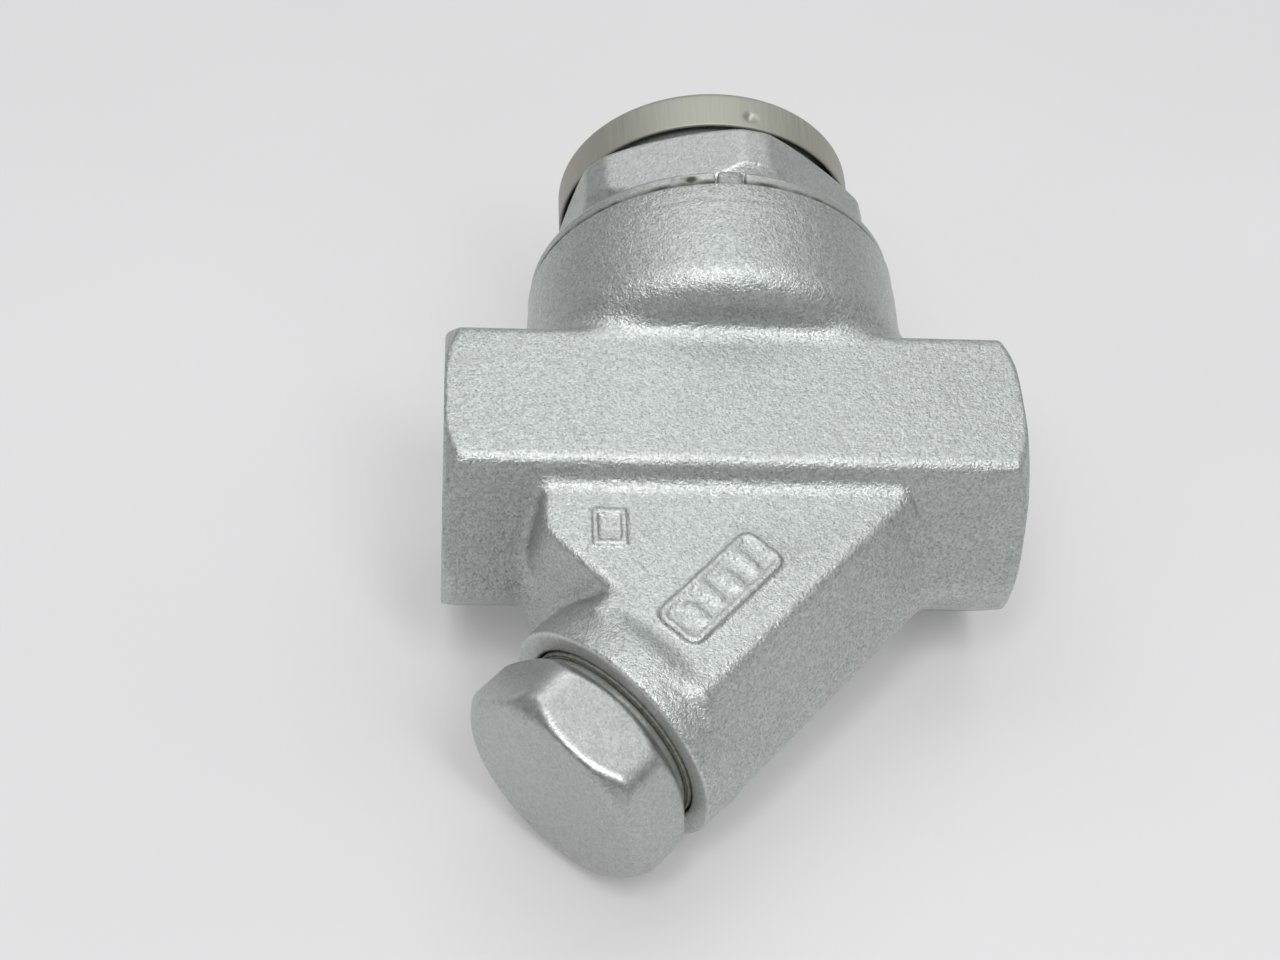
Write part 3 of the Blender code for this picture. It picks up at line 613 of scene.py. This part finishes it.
def inner_cover_outline():
    """The dome over the disc, with a pin on its axis that stops the disc's lift."""
    stop = DISC_TOP + 1.23
    profile = [(0, DOME_TOP), (12.6, DOME_TOP), (15.8, DOME_TOP - 3.2), (15.8, COVER_BASE)]
    return profile + [(13.9, COVER_BASE), (13.9, 33.0), (12.4, 34.5), (5.0, 34.5), (4.4, stop), (0, stop)]


def make_bonnet_pieces():
    low, high = (-25.0, 22.0, -25.0), (25.0, 53.8, 25.0)
    nut = field_mesh("cover_nut_fine", nut_field, low, high, 0.36, own_axes, 0.6)
    made = [ready(nut, "cover", "painted")]
    low, high = (-27.4, 31.5, -27.4), (27.4, 33.9, 27.4)
    ring = field_mesh("locating_ring_fine", ring_field, low, high, 0.25, own_axes)
    made.append(ready(ring, "module", "painted"))
    low, high = (-20, 18.2, -20), (20, 25.6, 20)
    seat = field_mesh("valve_seat_fine", seat_field, low, high, 0.3, own_axes)
    made.append(ready(seat, "module", "valve_steel"))
    disc = lathe("valve_disc_fine", rounded(disc_outline(), 0.2), bonnet_axes)
    made.append(ready(disc, "disc", "valve_steel"))
    dome = lathe("inner_cover_fine", rounded(inner_cover_outline(), 0.9, 4), bonnet_axes)
    made.append(ready(dome, "module", "valve_steel"))
    vent = open_ring("air_vent_ring_fine", 12.3, 13.5, COVER_BASE, 24.2, 3.0, 160, bonnet_axes)
    made.append(ready(vent, "module", "bimetal"))
    clip = open_ring("module_clip_fine", 16.1, 17.2, COVER_BASE, 23.3, 5.0, 90, bonnet_axes)
    made.append(ready(clip, "module", "spring_steel"))
    for name, inner, outer in (("inner_gasket", 4.4, 7.2), ("outer_gasket", 17.0, 19.9)):
        outline = rounded(grooved(inner, outer, 17.15, 18.15, 6, 0.12), 0.12, 2)
        made.append(ready(lathe(name + FINE, outline, bonnet_axes), "module", "gasket"))
    cap = lathe("insulation_cap_fine", cap_outline(), bonnet_axes, 420, dented)
    made.append(ready(cap, "cap", "stainless"))
    return made


# ---------------------------------------------------------------- strainer pieces

HEAD_FLATS = 14.75
HEAD_CORNER = 16.35
HEAD_TURN = 51.5
HEAD_LOW = 60.5
HEAD_DOME = 71.1
PLUG_NECK_RADIUS = 12.2
PLUG_NECK_THREAD = (49.2, 58.4)
PLUG_SHOULDER_RADIUS = 13.4
PLUG_POCKET_RADIUS = 9.9
SCREEN_OUTER = 9.3
SCREEN_INNER = 8.7
SCREEN_LOW = 19.6
SCREEN_HIGH = 53.7


def head_field(across, up, along):
    radius = np.hypot(across, up)
    bar = hexagon(across, up, HEAD_FLATS, HEAD_CORNER, HEAD_TURN, 0.6)
    bar = soft_max(bar, HEAD_LOW - along, 0.3)
    bar = soft_max(bar, cone(radius, along, HEAD_LOW, 14.1, 1.136), 0.4)
    bar = soft_max(bar, cone(radius, along, 68.3, 16.6, -1.0), 0.6)
    bar = soft_max(bar, along + radius * radius * 0.0022 - HEAD_DOME, 0.8)
    shoulder = soft_max(radius - PLUG_SHOULDER_RADIUS, slab(along - 60.6, 1.3), 0.3)
    threaded = (along > PLUG_NECK_THREAD[0]) * (along < PLUG_NECK_THREAD[1])
    groove = thread(across, up, along, PLUG_PITCH, PLUG_THREAD_DEPTH) * threaded
    neck = soft_max(radius - PLUG_NECK_RADIUS + groove, slab(along - 54.4, 6.4), 0.9)
    field = soft_min(np.minimum(bar, neck), shoulder, 0.2)
    return soft_max(field, -soft_max(radius - PLUG_POCKET_RADIUS, along - 58.0, 0.4), 0.3)


def perforated(name, inner, outer, low, high, place):
    """A tube with rows of round holes, staggered from row to row."""
    around, rows, sides = 40, 23, 8
    cell_turn = 2 * math.pi / around
    cell_height = (high - low) / rows
    hole = 0.3 * cell_height
    points, faces = [], []

    def at(radius, turn, along):
        points.append((radius * math.cos(turn), radius * math.sin(turn), along))
        return len(points) - 1

    def lean(row):
        return 0.5 * cell_turn * row

    corners = {}
    for shell, radius in enumerate((outer, inner)):
        for row in range(rows + 1):
            for column in range(around):
                turn = column * cell_turn + lean(row)
                corners[shell, row, column] = at(radius, turn, low + row * cell_height)
    for row in range(rows):
        for column in range(around):
            turn = (column + 0.5) * cell_turn + lean(row + 0.5)
            along = low + (row + 0.5) * cell_height
            rims = []
            for radius in (outer, inner):
                rim = []
                for number in range(sides):
                    a = math.radians(-157.5) + number * 2 * math.pi / sides
                    rim.append(at(radius, turn + hole * math.cos(a) / outer, along + hole * math.sin(a)))
                rims.append(rim)
            for shell in (0, 1):
                next_column = (column + 1) % around
                square = [corners[shell, row, column], corners[shell, row, next_column]]
                square += [corners[shell, row + 1, next_column], corners[shell, row + 1, column]]
                rim = rims[shell]
                for side in range(4):
                    a, b = 2 * side, 2 * side + 1
                    faces.append((square[side], square[(side + 1) % 4], rim[(b + 1) % sides], rim[b]))
                    faces.append((square[side], rim[b], rim[a]))
            for number in range(sides):
                after = (number + 1) % sides
                faces.append((rims[0][number], rims[0][after], rims[1][after], rims[1][number]))
    for row in (0, rows):
        for column in range(around):
            side = (column + 1) % around
            outer_edge = (corners[0, row, column], corners[0, row, side])
            faces.append((*outer_edge, corners[1, row, side], corners[1, row, column]))
    return face_outwards(mesh_object(name, place(np.array(points)), faces))


def make_strainer_pieces():
    low, high = (-17, -17, 47.9), (17, 17, 71.2)
    made = [ready(field_mesh("strainer_cap_fine", head_field, low, high, 0.32, leg_axes), "plug", "painted")]
    gasket = rounded(grooved(12.5, 13.7, 57.5, 59.0, 3, 0.12), 0.12, 2)
    made.append(ready(lathe("strainer_gasket_fine", gasket, leg_axes), "screen", "gasket"))
    tube = perforated("screen_tube_fine", SCREEN_INNER, SCREEN_OUTER, SCREEN_LOW, SCREEN_HIGH, leg_axes)
    made.append(ready(tube, "screen", "screen_steel"))
    sleeve = rounded([(8.4, SCREEN_HIGH), (8.4, SCREEN_LOW), (8.1, SCREEN_LOW), (8.1, SCREEN_HIGH)], 0.1)
    made.append(ready(lathe("screen_sleeve_fine", sleeve, leg_axes), "screen", "screen_steel"))
    for name, start in (("screen_top_ring", 17.3), ("screen_bottom_ring", 54.0)):
        outline = rounded([(9.5, start + 2), (9.5, start), (8.1, start), (8.1, start + 2)], 0.45, 4)
        made.append(ready(lathe(name + FINE, outline, leg_axes), "screen", "screen_steel"))
    return made


# ---------------------------------------------------------------- materials

class Nodes:
    """Short calls for a material's node tree."""

    def __init__(self, name):
        self.material = bpy.data.materials.new(name)
        self.material.use_nodes = True
        self.tree = self.material.node_tree
        self.shader = self.tree.nodes["Principled BSDF"]
        self.place = self.add("ShaderNodeTexCoord").outputs["Object"]

    def add(self, kind, **values):
        node = self.tree.nodes.new(kind)
        for key, value in values.items():
            setattr(node, key, value)
        return node

    def join(self, source, target):
        self.tree.links.new(source, target)

    def stretched(self, x, y, z):
        node = self.add("ShaderNodeMapping")
        node.inputs["Scale"].default_value = (x, y, z)
        self.join(self.place, node.inputs["Vector"])
        return node.outputs["Vector"]

    def noise(self, scale, detail=3.0, rough=0.5, vector=None):
        node = self.add("ShaderNodeTexNoise")
        node.inputs["Scale"].default_value = scale
        node.inputs["Detail"].default_value = detail
        node.inputs["Roughness"].default_value = rough
        self.join(vector or self.place, node.inputs["Vector"])
        return node.outputs["Fac"]

    def cells(self, scale):
        node = self.add("ShaderNodeTexVoronoi")
        node.inputs["Scale"].default_value = scale
        self.join(self.place, node.inputs["Vector"])
        return node

    def ramp(self, value, low, high, first=0.0, last=1.0):
        node = self.add("ShaderNodeMapRange")
        node.inputs["From Min"].default_value = low
        node.inputs["From Max"].default_value = high
        node.inputs["To Min"].default_value = first
        node.inputs["To Max"].default_value = last
        self.join(value, node.inputs["Value"])
        return node.outputs["Result"]

    def mix(self, factor, first, second):
        """Mixes two colours, each a tuple or a socket."""
        node = self.add("ShaderNodeMix", data_type="RGBA")
        if isinstance(factor, float):
            node.inputs[0].default_value = factor
        else:
            self.join(factor, node.inputs[0])
        for socket, value in ((node.inputs[6], first), (node.inputs[7], second)):
            if isinstance(value, tuple):
                socket.default_value = (*value, 1)
            else:
                self.join(value, socket)
        return node.outputs[2]

    def blend(self, factor, first, second):
        """Mixes two numbers, each a number or a socket."""
        node = self.add("ShaderNodeMix", data_type="FLOAT")
        self.join(factor, node.inputs[0])
        for socket, value in ((node.inputs[2], first), (node.inputs[3], second)):
            if isinstance(value, float):
                socket.default_value = value
            else:
                self.join(value, socket)
        return node.outputs[0]

    def bump(self, height, distance, strength=1.0, after=None):
        node = self.add("ShaderNodeBump")
        node.inputs["Strength"].default_value = strength
        node.inputs["Distance"].default_value = distance
        self.join(height, node.inputs["Height"])
        if after:
            self.join(after, node.inputs["Normal"])
        return node.outputs["Normal"]

    def set(self, name, value):
        socket = self.shader.inputs[name]
        if isinstance(value, (int, float)):
            socket.default_value = value
        elif isinstance(value, tuple):
            socket.default_value = (*value, 1)
        else:
            self.join(value, socket)


# Dirt and stains, and painted shade in recesses and in the gaps between parts, darken towards this colour.
DIRT_AND_SHADE_COLOUR = (0.06, 0.053, 0.032)
# Worn bare metal, and a painted highlight along the ring's top edge, lighten towards this colour.
WORN_AND_HIGHLIGHT_COLOUR = (0.60, 0.605, 0.59)
ALONG_BONNET = (1.0, 0.03, 1.0)


def paint_look(name, tone, grain, metallic):
    """Aluminium paint: fine flake and orange peel, with dirt and painted shade, and worn metal and a painted
    highlight, where the piece stores them.
    """
    n = Nodes(name)
    peel = n.noise(750, 4.0, 0.6)
    fine = n.noise(2900, 3.0, 0.6)
    flake = n.cells(3200)
    cloud = n.noise(45, 3.0)
    colour = n.mix(n.ramp(cloud, 0.35, 0.65), tuple(0.93 * c for c in tone), tone)
    glint = n.ramp(flake.outputs["Color"], 0.1, 0.9, 0.0, 0.4 + 0.5 * grain)
    colour = n.mix(glint, colour, tuple(min(1, 1.45 * c) for c in tone))
    dark = n.ramp(fine, 0.46, 0.28, 0.0, 0.25 + 0.45 * grain)
    colour = n.mix(dark, colour, tuple(0.4 * c for c in tone))
    # Darkens towards the dirt colour where the piece stores dirt and painted shade.
    dirt = n.add("ShaderNodeAttribute", attribute_name="dirt").outputs["Fac"]
    colour = n.mix(dirt, colour, DIRT_AND_SHADE_COLOUR)
    # Lightens towards the worn colour where the piece stores wear and painted highlight.
    wear = n.add("ShaderNodeAttribute", attribute_name="wear").outputs["Fac"]
    colour = n.mix(wear, colour, WORN_AND_HIGHLIGHT_COLOUR)
    n.set("Base Color", colour)
    n.set("Metallic", n.blend(dirt, n.blend(wear, metallic, 0.95), 0.0))
    rough = n.blend(n.ramp(peel, 0.3, 0.7), 0.29, 0.43)
    n.set("Roughness", n.blend(dirt, n.blend(wear, rough, 0.24), 0.9))
    first = n.bump(peel, 0.0002 * grain, 1.0)
    n.set("Normal", n.bump(fine, 0.00014 * grain, 1.0, first))
    return n.material


def steel_look(name, tone, roughness, lines=(1, 1, 1), scale=900, depth=0.00001, metallic=1.0):
    """Machined or brushed steel, its lines running along the axis that has the smallest factor in lines."""
    n = Nodes(name)
    streak = n.noise(scale, 4.0, 0.6, n.stretched(*lines))
    cloud = n.noise(60, 3.0)
    colour = n.mix(n.ramp(streak, 0.3, 0.7), tuple(0.82 * c for c in tone), tone)
    colour = n.mix(n.ramp(cloud, 0.3, 0.8, 0.0, 0.35), colour, tuple(0.75 * c for c in tone))
    n.set("Base Color", colour)
    n.set("Metallic", metallic)
    n.set("Roughness", n.ramp(streak, 0.25, 0.75, roughness - 0.07, roughness + 0.1))
    n.set("Normal", n.bump(streak, depth, 0.7))
    return n.material


def gasket_look(name, dark, light):
    n = Nodes(name)
    grit = n.noise(1500, 4.0, 0.7)
    n.set("Base Color", n.mix(n.ramp(grit, 0.3, 0.7), dark, light))
    n.set("Roughness", n.ramp(grit, 0.3, 0.7, 0.6, 0.9))
    n.set("Normal", n.bump(grit, 0.00005, 0.8))
    return n.material


def floor_look(name):
    """Smooth pale paper, seen from above only."""
    n = Nodes(name)
    fibre = n.noise(700, 3.0, 0.6)
    cloud = n.noise(9, 2.0)
    colour = n.mix(n.ramp(cloud, 0.3, 0.7), (0.53, 0.525, 0.53), (0.55, 0.545, 0.55))
    n.set("Base Color", colour)
    n.set("Roughness", 0.75)
    n.set("Specular IOR Level", 0.15)
    n.set("Emission Color", colour)
    n.set("Emission Strength", 0.33)
    n.set("Normal", n.bump(fibre, 0.00005, 0.4))
    clear = n.add("ShaderNodeBsdfTransparent")
    sides = n.add("ShaderNodeMixShader")
    n.join(n.add("ShaderNodeNewGeometry").outputs["Backfacing"], sides.inputs[0])
    n.join(n.shader.outputs[0], sides.inputs[1])
    n.join(clear.outputs[0], sides.inputs[2])
    n.join(sides.outputs[0], n.tree.nodes["Material Output"].inputs["Surface"])
    return n.material


def vertex_points(obj):
    """A piece's vertices in the trap's own millimetres."""
    points = np.empty(len(obj.data.vertices) * 3, np.float32)
    obj.data.vertices.foreach_get("co", points)
    return (points.reshape(-1, 3) - np.array(CENTRE)) / MM


def store(obj, name, values):
    layer = obj.data.attributes.new(name, "FLOAT", "POINT")
    layer.data.foreach_set("value", np.clip(values, 0, 1).astype(np.float32))


def ripple(points, size):
    """Smooth unevenness from 0 to 1, for the edges of dirt, painted shade, wear and painted highlight."""
    x, y, z = (points / size).T
    return 0.5 + 0.25 * (np.sin(1.7 * x + 2.1 * np.sin(1.3 * z)) + np.sin(2.3 * y + 1.9 * np.sin(0.9 * x)))


def age(pieces):
    """Dirt and stains with painted shade in recesses and gaps, and wear with a painted highlight, as vertex
    values.
    """
    body, nut, ring, head = (pieces[name] for name in ("body", "cover_nut", "locating_ring", "strainer_cap"))
    points = vertex_points(body)
    across, along = to_leg(points[:, 0], points[:, 1])
    leg_radius = np.hypot(across, points[:, 2])
    # Dirt and painted shade in the strainer boss's recess round the gasket.
    groove = soft_step(along, 57.0, 57.6) * soft_step(leg_radius, 14.4, 13.9)
    # A broken dark line of painted shadow on the bonnet rim, just under the locating ring.
    rim = soft_step(points[:, 1], 30.8, 31.2) * soft_step(np.hypot(points[:, 0], points[:, 2]), 26.6, 27.4)
    store(body, "dirt", np.maximum(0.6 * groove, 0.7 * rim * ripple(points, 2.0)))
    store(body, "wear", np.zeros(len(points)))
    points = vertex_points(head)
    across, along = to_leg(points[:, 0], points[:, 1])
    # Dirt and painted shade at the base of the strainer cap's hexagon, where it meets the boss.
    low = soft_step(along, 61.2, 60.6) * (0.15 + 0.45 * ripple(points, 1.4))
    store(head, "dirt", low)
    store(head, "wear", np.zeros(len(points)))
    points = vertex_points(ring)
    radius = np.hypot(points[:, 0], points[:, 2])
    # A broken dark line of painted shadow along the ring's lower edge, where it sits on the rim.
    shadow_under_ring = soft_step(points[:, 1], 32.35, 31.9) * (0.45 + 0.5 * ripple(points, 1.1))
    spot_reach = np.hypot(points[:, 0] + 5.6, 1.3 * (points[:, 1] - 32.4))
    spot = soft_step(spot_reach, 1.25, 0.45) * (points[:, 2] > 20) * soft_step(radius, 25.6, 26.4)
    stain = 0.45 * soft_step(np.abs(points[:, 0] + 7.0), 3.2, 0.5) * (points[:, 2] > 20) * ripple(points, 0.6)
    store(ring, "dirt", np.maximum(np.maximum(shadow_under_ring, stain), spot))
    # Worn metal and a painted highlight along the ring's top outer edge.
    lip_wear_and_highlight = soft_step(radius, 26.3, 26.7) * soft_step(points[:, 1], 33.0, 33.3)
    store(ring, "wear", lip_wear_and_highlight * (0.3 + 0.7 * soft_step(ripple(points, 3.1), 0.15, 0.6)))
    points = vertex_points(nut)
    # A dark band of painted shade at the nut's base, in the gap above the locating ring.
    low = soft_step(points[:, 1], 35.2, 34.5) * ripple(points, 1.7)
    store(nut, "dirt", 0.6 * low)
    store(nut, "wear", np.zeros(len(points)))


def bored(x, y, z):
    return (hollow_field(x, y, z) < 0.12) & (to_leg(x, y)[1] < 57.0)


def faced_end(x, y, z):
    across, along = to_leg(x, y)
    return (along > 58.6) & (np.hypot(across, z) > 13.9)


def plug_inside(x, y, z):
    return to_leg(x, y)[1] < 59.2


def nut_inside(x, y, z):
    return (y < 34.0) | (np.hypot(x, z) < 17.8)


def refinish(piece, material, chosen):
    """Gives another material to the faces whose centres, in the trap's own millimetres, are chosen."""
    mesh = piece.data
    mesh.materials.append(material)
    centres = np.empty(len(mesh.polygons) * 3, np.float32)
    mesh.polygons.foreach_get("center", centres)
    centres = (centres.reshape(-1, 3) - np.array(CENTRE)) / MM
    index = np.empty(len(mesh.polygons), np.int32)
    mesh.polygons.foreach_get("material_index", index)
    index[chosen(*centres.T)] = len(mesh.materials) - 1
    mesh.polygons.foreach_set("material_index", index)


def dress(pieces):
    cast = paint_look("silver_paint_cast", (0.428, 0.452, 0.44), 1.0, 0.84)
    turned = paint_look("silver_paint_turned", (0.39, 0.41, 0.40), 0.45, 0.6)
    plug = paint_look("silver_paint_plug", (0.43, 0.447, 0.438), 0.3, 0.86)
    # The faced boss end: a smoother, less metallic finish, with a lighter tone that is a painted lift against
    # its shade.
    faced_brightened = paint_look("silver_paint_faced", (0.53, 0.545, 0.53), 0.3, 0.4)
    machined = steel_look("bored_steel", (0.36, 0.35, 0.34), 0.4)
    brushed = steel_look("brushed_cap", (0.44, 0.44, 0.375), 0.47, ALONG_BONNET, 2600, 0.00005, 0.62)
    valve = steel_look("lapped_steel", (0.52, 0.52, 0.53), 0.22, (1, 1, 1), 700)
    spring = steel_look("spring_wire", (0.28, 0.28, 0.29), 0.36)
    bimetal = steel_look("bimetal_strip", (0.52, 0.43, 0.31), 0.38)
    mesh = steel_look("screen_sheet", (0.56, 0.56, 0.55), 0.3)
    graphite = gasket_look("graphite", (0.03, 0.028, 0.024), (0.10, 0.09, 0.07))
    sprayed = gasket_look("sprayed_gasket", (0.11, 0.105, 0.08), (0.30, 0.30, 0.27))
    looks = {"body": cast, "cover_nut": turned, "locating_ring": turned, "strainer_cap": plug}
    looks.update(dict.fromkeys(("valve_seat", "valve_disc", "inner_cover"), valve))
    looks.update(inner_gasket=graphite, outer_gasket=graphite, strainer_gasket=sprayed)
    screen = ("screen_tube", "screen_sleeve", "screen_top_ring", "screen_bottom_ring")
    looks.update(dict.fromkeys(screen, mesh))
    looks.update(insulation_cap=brushed, module_clip=spring, air_vent_ring=bimetal)
    for name, piece in pieces.items():
        piece.data.materials.append(looks[name])
    refinish(pieces["body"], machined, bored)
    refinish(pieces["body"], faced_brightened, faced_end)
    refinish(pieces["strainer_cap"], machined, plug_inside)
    refinish(pieces["cover_nut"], machined, nut_inside)
    age(pieces)


# ---------------------------------------------------------------- floor, light and camera

FLOOR_HALF = 15.0
CEILING_SIZE = (0.2, 0.5)
CEILING_WATTS = 3.0
WINDOW_SIZE = (1.6, 0.9)
WINDOW_WATTS = 5.0
# The room is brightest in the direction ROOM_BRIGHT_WAY, and darker low down and in front.
ROOM_BRIGHT_WAY = (0.05, 0.38, 0.92)
ROOM_SHARE = (-0.05, 0.85)
ROOM_STRENGTH = (0.06, 0.66)
CAMERA_ANGLES = (-9.135, 54.887, 8.519)
CAMERA_TARGET = Vector((-11.87, -1.2, 0))
CAMERA_DISTANCE = 0.3008
CAMERA_LENS = 59.06


def resting_plane():
    """A point and the upward normal of the facet of the solids' hull straight below the centre of mass."""
    work = bmesh.new()
    weight, moment = 0.0, Vector()
    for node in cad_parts.values():
        mesh = node.data
        mesh.calc_loop_triangles()
        for vertex in mesh.vertices:
            work.verts.new(vertex.co)
        for triangle in mesh.loop_triangles:
            a, b, c = (mesh.vertices[i].co for i in triangle.vertices)
            share = a.dot(b.cross(c)) / 6
            weight += share
            moment += share * (a + b + c) / 4
    bmesh.ops.convex_hull(work, input=work.verts)
    tree = BVHTree.FromBMesh(work)
    point, normal, _, _ = tree.ray_cast(moment / weight, Vector((0, 0, -1)))
    work.free()
    return point, -normal if normal.z < 0 else normal


def make_floor():
    point, up = resting_plane()
    turn = up.to_track_quat("Z", "Y").to_matrix().to_4x4()
    mesh = bpy.data.meshes.new("floor")
    square = [Vector((x, y, 0)) * FLOOR_HALF for x, y in ((-1, -1), (1, -1), (1, 1), (-1, 1))]
    mesh.from_pydata([turn @ corner + point for corner in square], [], [(0, 1, 2, 3)])
    mesh.materials.append(floor_look("pale_paper"))
    floor = bpy.data.objects.new("floor", mesh)
    bpy.context.scene.collection.objects.link(floor)


def area_light(name, place, size, energy, tone=(1, 1, 1)):
    """A rectangular light that faces the trap."""
    light = bpy.data.lights.new(name, "AREA")
    light.shape = "RECTANGLE"
    light.size, light.size_y = size
    light.energy = energy
    light.color = tone
    obj = bpy.data.objects.new(name, light)
    obj.location = place
    obj.rotation_euler = (CENTRE - Vector(place)).to_track_quat("-Z", "Y").to_euler()
    bpy.context.scene.collection.objects.link(obj)


def make_lights():
    area_light("ceiling_left", (-0.26, -0.30, 1.0), CEILING_SIZE, CEILING_WATTS)
    area_light("ceiling_right", (0.22, -0.34, 1.0), CEILING_SIZE, CEILING_WATTS)
    area_light("ceiling_behind", (-0.1, 0.9, 1.2), WINDOW_SIZE, WINDOW_WATTS, (0.97, 0.98, 1.0))
    make_room()


def make_room():
    world = bpy.data.worlds.new("room")
    world.use_nodes = True
    tree = world.node_tree
    room = tree.nodes["Background"]
    share = tree.nodes.new("ShaderNodeVectorMath")
    share.operation = "DOT_PRODUCT"
    share.inputs[1].default_value = ROOM_BRIGHT_WAY
    level = tree.nodes.new("ShaderNodeMapRange")
    for name, value in zip(("From Min", "From Max", "To Min", "To Max"), (*ROOM_SHARE, *ROOM_STRENGTH)):
        level.inputs[name].default_value = value
    tree.links.new(tree.nodes.new("ShaderNodeTexCoord").outputs["Generated"], share.inputs[0])
    tree.links.new(share.outputs["Value"], level.inputs["Value"])
    tree.links.new(level.outputs["Result"], room.inputs["Strength"])
    room.inputs["Color"].default_value = (0.96, 0.97, 0.98, 1)
    bpy.context.scene.world = world


def make_camera():
    azimuth, elevation, roll = (math.radians(a) for a in CAMERA_ANGLES)
    flat_way = Vector((math.sin(azimuth), -math.cos(azimuth), 0))
    back = flat_way * math.cos(elevation) + Vector((0, 0, math.sin(elevation)))
    place = CENTRE + CAMERA_TARGET * MM + back * CAMERA_DISTANCE
    level = Vector((math.cos(azimuth), math.sin(azimuth), 0))
    right = level * math.cos(roll) + back.cross(level) * math.sin(roll)
    camera = bpy.data.objects.new("camera", bpy.data.cameras.new("camera"))
    turn = Matrix((right, back.cross(right), back)).transposed().to_4x4()
    camera.matrix_world = Matrix.Translation(place) @ turn
    camera.data.lens = CAMERA_LENS
    camera.data.sensor_width = 36
    camera.data.clip_start = 0.01
    bpy.context.scene.collection.objects.link(camera)
    bpy.context.scene.camera = camera


def main():
    made = [make_body()] + make_bonnet_pieces() + make_strainer_pieces()
    dress({piece.name.removesuffix(FINE): piece for piece in made})
    make_floor()
    make_lights()
    make_camera()
    bpy.context.scene.view_settings.view_transform = "Standard"


main()
